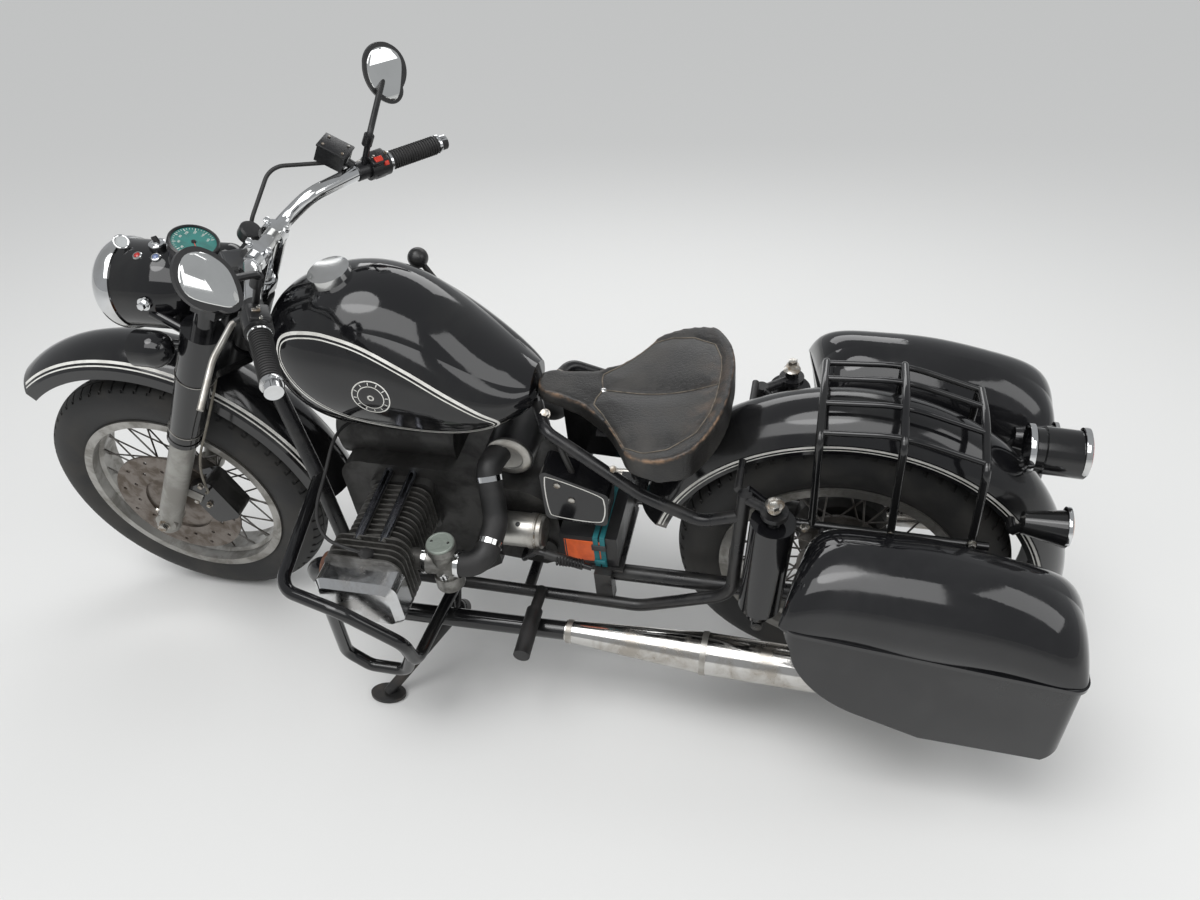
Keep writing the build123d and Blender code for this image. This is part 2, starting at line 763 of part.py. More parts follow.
# Frame: backbone with the steering head, then a cradle and a seat rail on each side
head_tube = steered(rod((0, 0, head_bottom), (0, 0, head_top), head_radius))
head_space = steered(rod((0, 0, head_bottom - 60.0), (0, 0, head_top), head_radius))
stem_space = steered(rod((0, 0, head_bottom - 1.0), (0, 0, head_top + 1.0), stem_radius + running_gap))
spine_start = steered_point(0, 0, 606.0)
spine_run = (Vector(*spine_end) - spine_start).normalized()
spine = rod(spine_start + spine_run * (head_radius - 3.0), spine_end, spine_radius)
keep("frame_backbone", joined(head_tube, spine) - stem_space)
cradle = []
seat_rails = []
tube_top = steered_point(-head_x_back, 0, 600.0)
for side in (-1, 1):
    y = side * rail_y
    shoulder = (1040.0, y, rail_z + 60.0)
    down = bent_tube([(tube_top.X, side * 24.0, tube_top.Z), (1072.0, side * 118.0, 560.0), shoulder],
                     [160.0], tube_radius)
    rail = bent_tube([shoulder, (1022.0, y, rail_z), (395.0, y, rail_z - 12.0), (205.0, y, 352.0),
                      (182.0, y, 652.0)], [30.0, 90.0, 60.0], rail_radius)
    cradle.append(joined(down - head_space, rail))
    seat_rail = bent_tube([(604.0, side * 8.0, 704.0), (560.0, side * 100.0, 712.0),
                           (378.0, side * 144.0, 614.0), (262.0, y, 564.0), (191.0, y, 590.0)],
                          [30.0, 120.0, 50.0], rail_radius - 1.0)
    pin_foot = Vector(shock_top[0], side * shock_y, shock_top[1])
    skirt_angle = math.radians(59.0)
    skirt = Vector(math.cos(skirt_angle), 0, math.sin(skirt_angle)) * (rear_fender_knee - 8.0)
    skirt_point = rear_axle + skirt + Vector(0, side * (rear_fender_half - 0.5 * fender_wall), 0)
    mount = joined(rod((182.0, y, 640.0), pin_foot + Vector(0, 0, 6.0), 10.0),
                   rod(pin_foot + Vector(0, 0, 2.0), pin_foot + Vector(0, 0, 12.0), 25.0),
                   rod(Vector(skirt_point.X, side * rail_y, skirt_point.Z), skirt_point, 7.0))
    pin_space = rod(pin_foot - Vector(0, 0, 60.0), pin_foot + Vector(0, 0, 60.0), shock_pin_radius + seat_gap)
    seat_rails.append(joined(seat_rail, mount) - pin_space - nodes["frame_backbone"] - cradle[-1]
                      - nodes["rear_fender"])
keep("frame_cradle", *cradle)
keep("frame_seat_rails", *seat_rails)

# Fuel tank: sections across the machine from the nose back, then the tunnel, cap and neck
tank_sections = (
    # x, half width of floor, floor z, half width, its z, half width of shoulder, its z, top z
    (1108.0, 34.0, 772.0, 52.0, 814.0, 38.0, 868.0, 884.0),
    (1070.0, 78.0, 730.0, 112.0, 802.0, 78.0, 898.0, 930.0),
    (990.0, 104.0, 700.0, 146.0, 794.0, 104.0, 920.0, 968.0),
    (900.0, 110.0, 692.0, 155.0, 788.0, 110.0, 928.0, 980.0),
    (800.0, 108.0, 688.0, 151.0, 772.0, 102.0, 898.0, 950.0),
    (700.0, 94.0, 692.0, 130.0, 752.0, 84.0, 828.0, 862.0),
    (640.0, 72.0, 706.0, 98.0, 744.0, 62.0, 784.0, 804.0),
    (600.0, 44.0, 724.0, 58.0, 746.0, 40.0, 766.0, 778.0),
)


def tank_face(row):
    x, floor, floor_z, wide, wide_z, shoulder, shoulder_z, top = row
    face = outline(
        (-floor, floor_z),
        (floor, floor_z),
        ((wide, wide_z), (shoulder, shoulder_z)),
        ((0.0, top), (-shoulder, shoulder_z)),
        ((-wide, wide_z), (-floor, floor_z)),
    )
    return Plane(origin=(x, 0, 0), x_dir=(0, 1, 0), z_dir=(1, 0, 0)) * face


tunnel_radius = spine_radius + seat_gap
tunnel_start = spine_start + spine_run * 60.0
tunnel_end = Vector(*spine_end) + spine_run * 20.0
tunnel = rod(tunnel_start, tunnel_end, tunnel_radius)
trough = side_view(Polygon((tunnel_end.X, 600.0), (tunnel_start.X, 600.0),
                           (tunnel_start.X, tunnel_start.Z), (tunnel_end.X, tunnel_end.Z),
                           align=None), -tunnel_radius, tunnel_radius)
cap_axis = Vector(0.10, 0.08, 1.0).normalized()
cap_foot = Vector(*cap_seat)
cap = rod(cap_foot - cap_axis * 10.0, cap_foot + cap_axis * (cap_height - 10.0), cap_radius)
neck = rod(cap_foot - cap_axis * 70.0, cap_foot, neck_radius)
tank = loft([tank_face(row) for row in tank_sections])
keep("fuel_tank", tank - tunnel - trough - cap - neck)
keep("fuel_cap", cap)

# Saddle: a soft solid, and the steel pan and rubber blocks that carry it
saddle_half = outline((596.0, 0.0), ((588.0, 26.0), (560.0, 36.0)), (500.0, 50.0), (452.0, 84.0),
                      ((410.0, 142.0), (394.0, 172.0)), ((334.0, 194.0), (272.0, 176.0)),
                      ((234.0, 100.0), (224.0, 0.0)))
saddle_plan = saddle_half + mirror(saddle_half, about=Plane.XZ)
saddle_side = outline((604.0, 728.0), (604.0, 756.0), ((500.0, 744.0), (420.0, 742.0)),
                      ((320.0, 756.0), (220.0, 794.0)), (220.0, saddle_floor + 14.0), (300.0, saddle_floor),
                      (470.0, saddle_floor))
keep("saddle", plan_view(saddle_plan, 600.0, 900.0) & side_view(saddle_side, -230.0, 230.0))
pan_top = saddle_floor - seat_gap
seat_bar = (378.0, 144.0, 614.0)
mount_parts = [block((330.0, -78.0, pan_top - pan_thickness), (470.0, 78.0, pan_top))]
for side in (-1, 1):
    block_foot = seat_bar[2] + 11.0 + seat_gap
    mount_parts.append(rod((seat_bar[0], side * 100.0, block_foot), (seat_bar[0], side * 100.0, pan_top), 24.0))
    mount_parts.append(rod((440.0, side * 60.0, 690.0), (seat_bar[0], side * 92.0, 690.0), 9.0))
keep("saddle_mount", joined(*mount_parts))

# Swing arm, final drive and shock absorbers
def arm_z(x):
    """Height of the swing arm's middle line."""
    return pivot_z + (tyre_radius - arm_drop - pivot_z) * (pivot_x - x) / (pivot_x - arm_end_x)


arm_parts = [rod((pivot_x, -pivot_half, pivot_z), (pivot_x, pivot_half, pivot_z), 24.0),
             rod((0, -arm_y, tyre_radius), (0, arm_y, tyre_radius), axle_radius)]
for side in (-1, 1):
    y = side * arm_y
    shock_eye = Vector(shock_foot_x, side * (shock_y + 22.0), arm_z(shock_foot_x))
    arm_parts.append(rod((pivot_x, y, pivot_z), (arm_end_x, y, arm_z(arm_end_x)), arm_radius))
    arm_parts.append(rod((0, y - 22.0, tyre_radius), (0, y + 22.0, tyre_radius), 34.0))
    arm_parts.append(block((0, y - 9.0, tyre_radius - 26.0), (70.0, y + 9.0, tyre_radius + 22.0)))
    arm_parts.append(rod((shock_eye.X, y, shock_eye.Z), shock_eye, 11.0))
keep("swing_arm", joined(*arm_parts))
bevel_box = turned(Polygon((-128.0, 0.0), (-128.0, 70.0), (-108.0, 96.0), (-72.0, 96.0), (-62.0, 80.0),
                           (-62.0, 0.0), align=None), rear_axle)
drive_shaft = rod((arm_end_x, -arm_y, arm_z(arm_end_x)), (430.0, -arm_y, arm_z(430.0)), drive_shaft_radius)
keep("final_drive", joined(bevel_box, drive_shaft) - nodes["swing_arm"])
shocks = []
for side in (-1, 1):
    top = Vector(shock_top[0], side * shock_y, shock_top[1])
    foot = Vector(shock_foot_x, side * shock_y, arm_z(shock_foot_x) + 17.0)
    run = (top - foot).normalized()
    shocks.append(joined(rod(foot + run * 34.0, top - run * 16.0, shock_radius),
                         rod(foot, foot + run * 40.0, 24.0),
                         rod(top - Vector(0, 0, 24.0), top + Vector(0, 0, 30.0), shock_pin_radius))
                  - nodes["swing_arm"])
keep("shock_absorbers", *shocks)

# Crankcase, gearbox and starter
case_side = outline((1026.0, 330.0), (1026.0, 520.0), ((1010.0, 566.0), (960.0, 578.0)), (790.0, 578.0),
                    (712.0, 548.0), (712.0, 300.0), (760.0, 262.0), (960.0, 262.0))
sump_side = outline((950.0, 262.0), (930.0, 238.0), (780.0, 238.0), (762.0, 262.0))
case_parts = [side_view(case_side, -case_half, case_half),
              side_view(sump_side, -76.0, 76.0),
              rod((776.0, 0, generator_z), (1028.0, 0, generator_z), generator_radius),
              rod((1028.0, 0, generator_z), (1040.0, 0, generator_z), generator_radius - 14.0),
              rod((1024.0, 0, 430.0), (1042.0, 0, 430.0), 76.0)]
for side in (-1, 1):
    flange = Pos(cylinder_x + side * cylinder_stagger, cylinder_z) * RectangleRounded(138.0, 132.0, 20.0)
    case_parts.append(side_view(flange, side * (case_half - 1.0), side * flange_end))
keep("crankcase", joined(*case_parts))
box_front = 712.0 - seat_gap
box_side = outline((box_front, 320.0), (box_front, 540.0), (650.0, 532.0), ((590.0, 504.0), (568.0, 440.0)),
                   (568.0, 330.0), (610.0, 308.0))
tail_side = outline((570.0, 300.0), (570.0, 356.0), (512.0, 352.0), (512.0, 318.0))
box_parts = [side_view(box_side, -gearbox_half, gearbox_half), side_view(tail_side, -34.0, 34.0)]
for x, z, radius, depth in ((642.0, 372.0, 36.0, 12.0), (600.0, 372.0, 22.0, 8.0), (672.0, 350.0, 18.0, 8.0)):
    box_parts.append(rod((x, 0, z), (x, gearbox_half + depth, z), radius))
keep("gearbox", joined(*box_parts) - nodes["swing_arm"])
starter_start = (starter_x[1], starter_y, starter_z)
starter_length = starter_x[1] - starter_x[0]
starter_section = [(0.0, 0.0), (starter_radius - 6.0, 0.0), (starter_radius, 8.0),
                   (starter_radius, starter_length - 30.0), (starter_radius + 1.5, starter_length - 30.0),
                   (starter_radius + 1.5, starter_length - 18.0), (starter_radius, starter_length - 18.0),
                   (starter_radius, starter_length - 4.0), (starter_radius - 5.0, starter_length),
                   (0.0, starter_length)]
keep("starter_motor", turned_along(starter_start, (starter_x[0], starter_y, starter_z), starter_section)
     - nodes["gearbox"])

# Cylinders: finned barrel and head, push-rod tubes and ports, then the rocker covers
cylinders = []
rocker_covers = []
fin_pitch = (head_end - barrel_start - fin_thickness) / (fin_count - 1)
for side in (-1, 1):
    centre_x = cylinder_x + side * cylinder_stagger
    port_y = side * exhaust_port_y
    parts = [
        rod((centre_x, side * (flange_end + seat_gap), cylinder_z), (centre_x, side * barrel_end, cylinder_z),
            liner_radius),
        side_view(Pos(centre_x, cylinder_z) * RectangleRounded(126.0, 118.0, 22.0),
                  side * barrel_end, side * (head_end - seat_gap)),
        rod((centre_x + 40.0, port_y, exhaust_port_z), (centre_x + exhaust_reach, port_y, exhaust_port_z), 25.0),
        rod((centre_x - 40.0, side * intake_y, intake_z), (centre_x - intake_reach, side * intake_y, intake_z),
            22.0),
    ]
    for number in range(fin_count):
        near = barrel_start + fin_pitch * number
        share = barrel_share if near < barrel_end else 1.0
        fin = RectangleRounded(fin_size[0] * share, fin_size[1] * share, fin_corner)
        parts.append(side_view(Pos(centre_x, cylinder_z) * fin, side * near, side * (near + fin_thickness)))
    for end in (-1, 1):
        tube_x = centre_x + end * pushrod_half_span
        parts.append(rod((tube_x, side * (case_half - 20.0), cylinder_z + 78.0),
                         (tube_x, side * (barrel_end + 20.0), cylinder_z + 66.0), pushrod_radius))
    cylinders.append(joined(*parts) - nodes["crankcase"])
    cover = side_view(Pos(centre_x, cylinder_z) * RectangleRounded(*rocker_size, 26.0),
                      side * head_end, side * rocker_end)
    outer_face = cover.faces().sort_by(Axis.Y)[-1 if side > 0 else 0]
    rocker_covers.append(chamfer(outer_face.edges(), rocker_bevel))
keep("cylinders", *cylinders)
keep("rocker_covers", *rocker_covers)

# Carburettors, elbow hoses and the air cleaner they run to
carburettors = []
hoses = []
cleaner = rod((660.0, -62.0, 600.0), (660.0, 62.0, 600.0), cleaner_radius)
keep("air_cleaner", cleaner - nodes["crankcase"] - nodes["gearbox"])
for side in (-1, 1):
    centre_x = cylinder_x + side * cylinder_stagger
    port = Vector(centre_x - intake_reach - seat_gap, side * intake_y, intake_z)
    middle = port - Vector(42.0, 0, 0)
    carburettors.append(joined(
        rod(port, port - Vector(carburettor_length, 0, 0), carburettor_radius),
        rod(middle - Vector(0, 0, 30.0), middle + Vector(0, 0, 40.0), carburettor_radius - 1.0),
        rod(middle - Vector(0, 0, 62.0), middle - Vector(0, 0, 28.0), bowl_radius),
        rod(middle + Vector(0, 0, 40.0), middle + Vector(0, 0, 54.0), bowl_radius)))
    mouth = port - Vector(carburettor_length + seat_gap, 0, 0)
    hose = bent_tube([mouth, mouth - Vector(44.0, 0, 0), Vector(mouth.X - 52.0, side * 168.0, 520.0),
                      Vector(692.0, side * 104.0, 604.0), Vector(672.0, side * 40.0, 612.0)],
                     [42.0, 60.0, 30.0], hose_radius)
    hoses.append(hose - nodes["air_cleaner"] - nodes["crankcase"] - nodes["gearbox"] - nodes["starter_motor"]
                 - nodes["cylinders"])
keep("carburettors", *carburettors)
keep("intake_hoses", *hoses)

# Exhaust pipes and conical silencers
pipes = []
silencers = []
for side in (-1, 1):
    centre_x = cylinder_x + side * cylinder_stagger
    port = Vector(centre_x + exhaust_reach + seat_gap, side * exhaust_port_y, exhaust_port_z)
    start = sided(silencer_start, side)
    end = sided(silencer_end, side)
    length = (end - start).length
    pipes.append(bent_tube([port, port + Vector(44.0, 0, 0), Vector(centre_x + 116.0, side * 262.0, 300.0),
                            Vector(centre_x + 40.0, side * 228.0, 258.0), start], [34.0, 60.0, 40.0],
                           pipe_radius))
    # The first 1.1 mm stay open, because the pipe's end face isn't quite square to the silencer
    silencers.append(turned_along(start, end, [(0.0, 1.1), (silencer_neck, 1.1),
                                               (silencer_radius, silencer_cone),
                                               (silencer_radius, length - 8.0),
                                               (silencer_radius - 8.0, length), (0.0, length)]))
keep("exhaust_pipes", *pipes)
keep("silencers", *silencers)

# Battery on its tray, tool boxes, and the cross pieces between the frame's two sides
battery_low = (438.0, -40.0, 368.0)
battery_high = (558.0, 128.0, 455.0)
keep("battery", block(battery_low, battery_high))
tool_side = offset(outline((566.0, 512.0), (566.0, 618.0), (457.0, 574.0), (464.0, 506.0)), 12.0)
tool_boxes = []
for side in (-1, 1):
    tool_boxes.append(side_view(tool_side, side * 66.0, side * 128.0) - nodes["frame_seat_rails"])
keep("tool_boxes", *tool_boxes)
crossings = [
    rod((640.0, -rail_y, rail_z - 8.0), (640.0, rail_y, rail_z - 8.0), 12.0),
    rod((980.0, -rail_y, rail_z), (980.0, rail_y, rail_z), 12.0),
    rod((seat_bar[0], -seat_bar[1], seat_bar[2]), seat_bar, 11.0),
    block((battery_low[0] - 8.0, battery_low[1] - 6.0, battery_low[2] - tray_thickness),
          (battery_high[0] + 8.0, battery_high[1] + 6.0, battery_low[2] - seat_gap)),
    block((pivot_x - 18.0, -pivot_half - 14.0, battery_low[2] - tray_thickness),
          (pivot_x + 18.0, pivot_half + 14.0, battery_low[2] - seat_gap)),
]
for side in (-1, 1):
    plate = outline((pivot_x - 18.0, rail_z - 10.0), (pivot_x + 18.0, rail_z - 10.0),
                    (pivot_x + 18.0, battery_low[2] - 2.0), (pivot_x - 18.0, battery_low[2] - 2.0))
    crossings.append(side_view(plate, side * (pivot_half + seat_gap), side * rail_y))
    rise = Vector(seat_bar[0], 0, seat_bar[2]) - rear_axle
    arc = fender_arc(rear_fender_half, rear_fender_knee)
    arc_middle = rear_axle + rise.normalized() * (fender_crown - arc)
    stay_run = rise.normalized() + UP_Y * (side * math.tan(math.radians(stay_angle)))
    stay_foot = arc_middle + stay_run.normalized() * (arc - 0.5 * fender_wall)
    crossings.append(rod(stay_foot, arc_middle + stay_run * (rise.length - fender_crown + arc), 8.0))
    crossings.append(rod((520.0, side * 100.0, 606.0), (540.0, side * 104.8, 701.0), 6.0))
keep("frame_crossmembers", joined(*crossings) - nodes["swing_arm"] - nodes["rear_fender"] - nodes["gearbox"]
     - nodes["crankcase"] - nodes["frame_cradle"] - nodes["frame_seat_rails"] - nodes["tool_boxes"])

# Crash bars: a guard round each cylinder with a loop below it
guards = []
for side in (-1, 1):
    guard = bent_tube([sided(point, side) for point in guard_points], list(guard_bends), crash_bar_radius)
    loop = bent_tube([sided(point, side) for point in guard_loop_points], list(guard_loop_bends),
                     crash_bar_radius)
    guards.append(joined(guard, loop) - nodes["frame_cradle"])
keep("crash_bars", *guards)

# Foot pegs, gear lever and brake pedal
pegs = []
for side in (-1, 1):
    pegs.append(joined(rod(sided(peg_root, side), sided(peg_elbow, side), 12.0),
                       rod(sided(peg_elbow, side), sided(peg_end, side), peg_radius))
                - nodes["frame_cradle"])
keep("footpegs", *pegs)
gear_lever = joined(bent_tube([(642.0, 100.0, 372.0), (642.0, 138.0, 372.0), (594.0, 168.0, 441.0),
                               (484.0, 170.0, 410.0)], [14.0, 16.0], 6.0),
                    rod((578.0, 168.5, 436.5), (500.0, 169.6, 414.5), 10.0))
brake_pedal = joined(rod((640.0, -88.0, 372.0), (690.0, -200.0, 346.0), 8.0),
                     block((672.0, -256.0, 338.0), (712.0, -190.0, 352.0)))
keep("foot_controls", gear_lever - nodes["gearbox"], brake_pedal - nodes["gearbox"])


# Panniers: the lid is a dome lofted over a bin, and both are open shells that meet at a sloping seam
def seam_z(x):
    """Height of the seam between bin and lid."""
    share = (pannier_front - x) / (pannier_front - pannier_rear)
    return seam_front_z + (seam_rear_z - seam_front_z) * share


def lid_section(row, side, wall, base):
    """One section of the dome, on an upright plane from the inner side to the outer side."""
    inner_x, outer_x, inset, height = row
    middle_x = 0.5 * (pannier_front + pannier_rear)
    shrink = 1.0 - 2.0 * wall / (pannier_front - pannier_rear)
    inner_x = middle_x + (inner_x - middle_x) * shrink
    outer_x = middle_x + (outer_x - middle_x) * shrink
    start = Vector(inner_x, side * (pannier_inner + inset + wall), seam_z(inner_x))
    end = Vector(outer_x, side * (pannier_outer - inset - wall), seam_z(outer_x))
    across = end - start
    width = across.length
    high = height - wall
    face = outline((0.0, base), (0.0, 0.10 * high), ((0.11 * width, 0.70 * high), (0.44 * width, high)),
                   ((0.84 * width, 0.78 * high), (width, 0.10 * high)), (width, base))
    return Plane(origin=start, x_dir=across, z_dir=across.cross(Vector(0, 0, 1))) * face


def rounded(face, radius):
    """The same face with its corners rounded."""
    return offset(offset(face, -radius), radius)


def pannier_footprint(side):
    """A pannier's outline from above, with its front slanting back towards the wheel."""
    return Polygon((pannier_front_inner, side * pannier_inner), (pannier_front, side * pannier_outer),
                   (pannier_rear, side * pannier_outer), (pannier_rear, side * pannier_inner), align=None)


def seam_corner(x, rise):
    """A point (x, z) above the seam."""
    return (x, seam_z(x) + rise)


rim_plan = rounded(pannier_footprint(-1), pannier_corner)
seam_band = Polygon(seam_corner(pannier_front + 20.0, 0.0), seam_corner(pannier_rear - 20.0, 0.0),
                    seam_corner(pannier_rear - 20.0, lip_height), seam_corner(pannier_front + 20.0, lip_height),
                    align=None)
ring = (plan_view(offset(rim_plan, lip_proud), 400.0, 700.0)
        - plan_view(offset(rim_plan, -lip_inset), 390.0, 710.0))
lip = ring & side_view(seam_band, -pannier_outer - 20.0, -pannier_inner + 20.0)
dome_shell = (loft([lid_section(row, -1, 0.0, lid_base) for row in reversed(lid_rows)])
              - loft([lid_section(row, -1, pannier_wall, -1.0) for row in reversed(lid_rows)]))
right_lid = joined(dome_shell, lip)
keep("pannier_lid_right", right_lid)
keep("pannier_lid_left", mirror(right_lid, about=Plane.XZ))
bracket_set = []
for side in (-1, 1):
    tag = "left" if side > 0 else "right"
    inner_y = side * pannier_inner
    outer_y = side * pannier_outer
    bin_plan = rounded(offset(pannier_footprint(side), -bin_inset), pannier_corner - bin_inset)
    bin_top = seam_z(pannier_front) - seam_gap
    bin_rear_top = seam_z(pannier_rear) - seam_gap
    bin_side = outline((pannier_front, bin_top), (pannier_front - 22.0, 520.0),
                       ((46.0, 430.0), (-60.0, 346.0)), (-160.0, 304.0), (pannier_rear + 30.0, 290.0),
                       (pannier_rear + 2.0, 322.0), (pannier_rear, bin_rear_top))
    bin_hollow = outline((pannier_front, bin_top + 4.0), (pannier_front, bin_top - 1.0),
                         (pannier_front - 22.0 - pannier_wall, 520.0),
                         ((42.0, 433.0), (-62.0, 350.0)), (-161.0, 308.0), (pannier_rear + 32.0, 294.0),
                         (pannier_rear + 6.0, 324.0), (pannier_rear, bin_rear_top), (pannier_rear, bin_rear_top + 4.0))
    body = side_view(bin_side, inner_y, outer_y) & plan_view(bin_plan, 200.0, 700.0)
    hollow = (side_view(bin_hollow, inner_y, outer_y)
              & plan_view(offset(bin_plan, -pannier_wall), 200.0, 720.0))
    keep("pannier_bin_" + tag, body - hollow)

    y = side * bracket_y
    bars = [rod((60.0, y, 532.0), (-330.0, y, 480.0), bracket_radius),
            rod((60.0, y, 400.0), (-330.0, y, 400.0), bracket_radius),
            rod((60.0, y, 532.0), (60.0, y, 400.0), bracket_radius),
            rod((-330.0, y, 480.0), (-330.0, y, 400.0), bracket_radius)]
    for x in (40.0, -240.0):
        bar_z = 524.0 + 0.1333 * x
        bars.append(rod((x, side * rack_foot_y, rack_foot_z + 0.035 * x), (x, y, bar_z), 7.0))
        bars.append(rod((x, y, bar_z - 30.0), (x, side * (pannier_inner + bin_inset), bar_z - 30.0), 10.0))
        bars.append(rod((x, y, bar_z - 30.0), (x, y, bar_z), 7.0))
    bracket_set.append(joined(*bars) - nodes["shock_absorbers"] - nodes["swing_arm"]
                       - nodes["pannier_bin_" + tag])
keep("pannier_brackets", *bracket_set)


# Luggage rack: three bows over the fender, rods on top of them and a rail along each side
def bow_z(height, y):
    """Height of a bow at a distance from the middle."""
    return height + bow_rise * (1.0 - abs(y) / bow_half)


rack_parts = []
for x, height in rack_bows:
    rack_parts.append(bent_tube([(x, -rack_foot_y, rack_foot_z), (x, -bow_half, height),
                                 (x, 0.0, height + bow_rise), (x, bow_half, height),
                                 (x, rack_foot_y, rack_foot_z)], [24.0, 200.0, 24.0], bow_radius))
for y in rack_rod_ys:
    over = [(x, y, bow_z(height, y)) for x, height in rack_bows]
    rack_parts.append(bent_tube([over[0], Vector(*over[1]) + Vector(0, 0, 3.0), over[2]], [240.0],
                                rack_rod_radius))
for side in (-1, 1):
    rack_parts.append(bent_tube([(-250.0, side * rack_foot_y, rack_foot_z - 9.0),
                                 (96.0, side * rack_foot_y, rack_foot_z + 2.0),
                                 (178.0, side * 138.0, 650.0)], [40.0], 8.0))
keep("luggage_rack", joined(*rack_parts) - nodes["rear_fender"] - nodes["pannier_brackets"]
     - nodes["frame_seat_rails"] - nodes["frame_cradle"])


# Tail lamp and rear indicators, on short arms from the fender
def fender_point(degrees, y, radius):
    """A point beside the rear wheel, at an angle above the forward line."""
    angle = math.radians(degrees)
    return Vector(radius * math.cos(angle), y, tyre_radius + radius * math.sin(angle))


tail_section = [(0.0, 0.0), (30.0, 0.0), (tail_radius - 4.0, 8.0), (tail_radius - 4.0, 22.0),
                (tail_radius, 24.0), (tail_radius, tail_length), (0.0, tail_length)]
tail_body = turned_along((tail_x, 0.0, tail_z), (tail_x - tail_length, 0.0, tail_z - 6.0), tail_section)
tail_arm = rod(fender_point(135.2, 0.0, fender_crown - 0.5 * fender_wall),
               fender_point(135.2, 0.0, fender_crown + 50.0), 12.0)
keep("tail_lamp", joined(tail_body, tail_arm) - nodes["rear_fender"])
rear_lights = []
skirt_middle = 0.5 * (rear_fender_edge + rear_fender_knee)
for side in (-1, 1):
    root = fender_point(140.0, side * (rear_fender_half - 0.5 * fender_wall), skirt_middle)
    elbow = fender_point(140.0, side * 106.0, skirt_middle)
    light = cone((rear_light_x[0], side * rear_light_y, rear_light_z),
                 (rear_light_x[1], side * rear_light_y, rear_light_z - 6.0), 20.0, 34.0)
    socket = (rear_light_x[0] - 14.0, side * rear_light_y, rear_light_z)
    arm = joined(rod(root, elbow, 8.0), rod(elbow, socket, 8.0))
    rear_lights.append(joined(light, arm) - nodes["rear_fender"] - nodes["luggage_rack"])
keep("rear_indicators", *rear_lights)


# Side stand, with its foot flat on the floor once the machine leans
def upright(point):
    """A point of the leaning machine, given from the floor, on the upright machine."""
    angle = math.radians(lean)
    y = point[1] * math.cos(angle) - (point[2] - tyre_half_width) * math.sin(angle)
    z = point[1] * math.sin(angle) + (point[2] - tyre_half_width) * math.cos(angle) + tyre_half_width
    return Vector(point[0], y, z)


pivot = Vector(*stand_pivot)
foot_plane = Plane(origin=upright((stand_foot_x, stand_foot_y, 0.0)), x_dir=(1, 0, 0),
                   z_dir=upright((0, 0, 1.0)) - upright((0, 0, 0.0)))
foot_pad = extrude(foot_plane * Ellipse(40.0, 28.0), foot_thickness, dir=foot_plane.z_dir)
ankle = upright((stand_foot_x, stand_foot_y, foot_thickness - 1.0))
stand_eye = rod(pivot - stand_axis * 14.0, pivot + stand_axis * 14.0, 18.0)
stand_bore = rod(pivot - stand_axis * 40.0, pivot + stand_axis * 40.0, stand_pin_radius + running_gap)
keep("side_stand", joined(rod(pivot, ankle, stand_radius), foot_pad, stand_eye) - stand_bore)
stand_mount = joined(rod(pivot - stand_axis * 22.0, pivot + stand_axis * 30.0, stand_pin_radius),
                     rod(pivot + stand_axis * 14.5, pivot + stand_axis * 28.0, 17.0),
                     rod(pivot + stand_axis * 24.0, (stand_pivot[0], rail_y, rail_z), 8.0))
lugs = [stand_mount - nodes["frame_cradle"] - nodes["crash_bars"]]

# Lugs for a sidecar's struts, on the right-hand rail
for x, z in zip(lug_xs, lug_zs):
    lug = block((x - lug_half, -lug_outer_y, z - lug_half), (x + lug_half, -rail_y, z + lug_half))
    bore_y = -lug_outer_y + lug_bore_inset
    lug_bore = rod((x, bore_y, z - lug_half - 1.0), (x, bore_y, z + lug_half + 1.0), lug_bore_radius)
    lugs.append(lug - lug_bore - nodes["frame_cradle"])
keep("frame_lugs", *lugs)

# Reverse lever with a ball knob, from the gearbox up past the tank's right side
keep("reverse_lever", joined(bent_tube([(650.0, -gearbox_half - seat_gap, 470.0), (650.0, -172.0, 470.0),
                                        (872.0, -176.0, 888.0)], [30.0], 6.0),
                             Pos(*lever_ball) * Sphere(lever_ball_radius)))

# Control cables from the bar down in front of the upper yoke
cables = []
for side in (-1, 1):
    start = sided(bar_bend, side) + Vector(30.0, 0, 8.0)
    cable = bent_tube([start, Vector(78.0, side * 150.0, 862.0), Vector(64.0, side * 66.0, 790.0),
                       Vector(44.0, side * 56.0, upper_yoke_top + seat_gap)], [44.0, 44.0], cable_radius)
    cables.append(steered(cable) - nodes["hand_controls"] - nodes["fork_yokes"] - nodes["headlamp_shell"]
                  - nodes["speedometer"] - nodes["handlebar"])
keep("control_cables", *cables)

# The machine leans on its stand, and the origin goes under the middle of its box
stance = Pos(0, 0, tyre_half_width) * Rot(-lean, 0, 0) * Pos(0, 0, -tyre_half_width)
standing = {name: stance * shape for name, shape in nodes.items()}
boxes = [shape.bounding_box() for shape in standing.values()]
low = Vector(*(min(tuple(box.min)[axis] for box in boxes) for axis in range(3)))
high = Vector(*(max(tuple(box.max)[axis] for box in boxes) for axis in range(3)))
shift = Pos(-0.5 * (low.X + high.X), -0.5 * (low.Y + high.Y), -low.Z)
os.makedirs("parts", exist_ok=True)
for name, shape in standing.items():
    export_step(shift * shape, "parts/" + name + ".step")
print("box", low, high)
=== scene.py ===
# %% [markdown]
# # A boxer-twin tourer on its side stand
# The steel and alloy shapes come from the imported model, which this script loads first and never
# moves. Everything below adds what the solids leave out: finishes, lines of paint, leather, rubber
# tread, small fasteners and glass.

# %% Load the frame
import bmesh
import bpy
import json
import math
from mathutils import Matrix, Quaternion, Vector, geometry
from mathutils.bvhtree import BVHTree


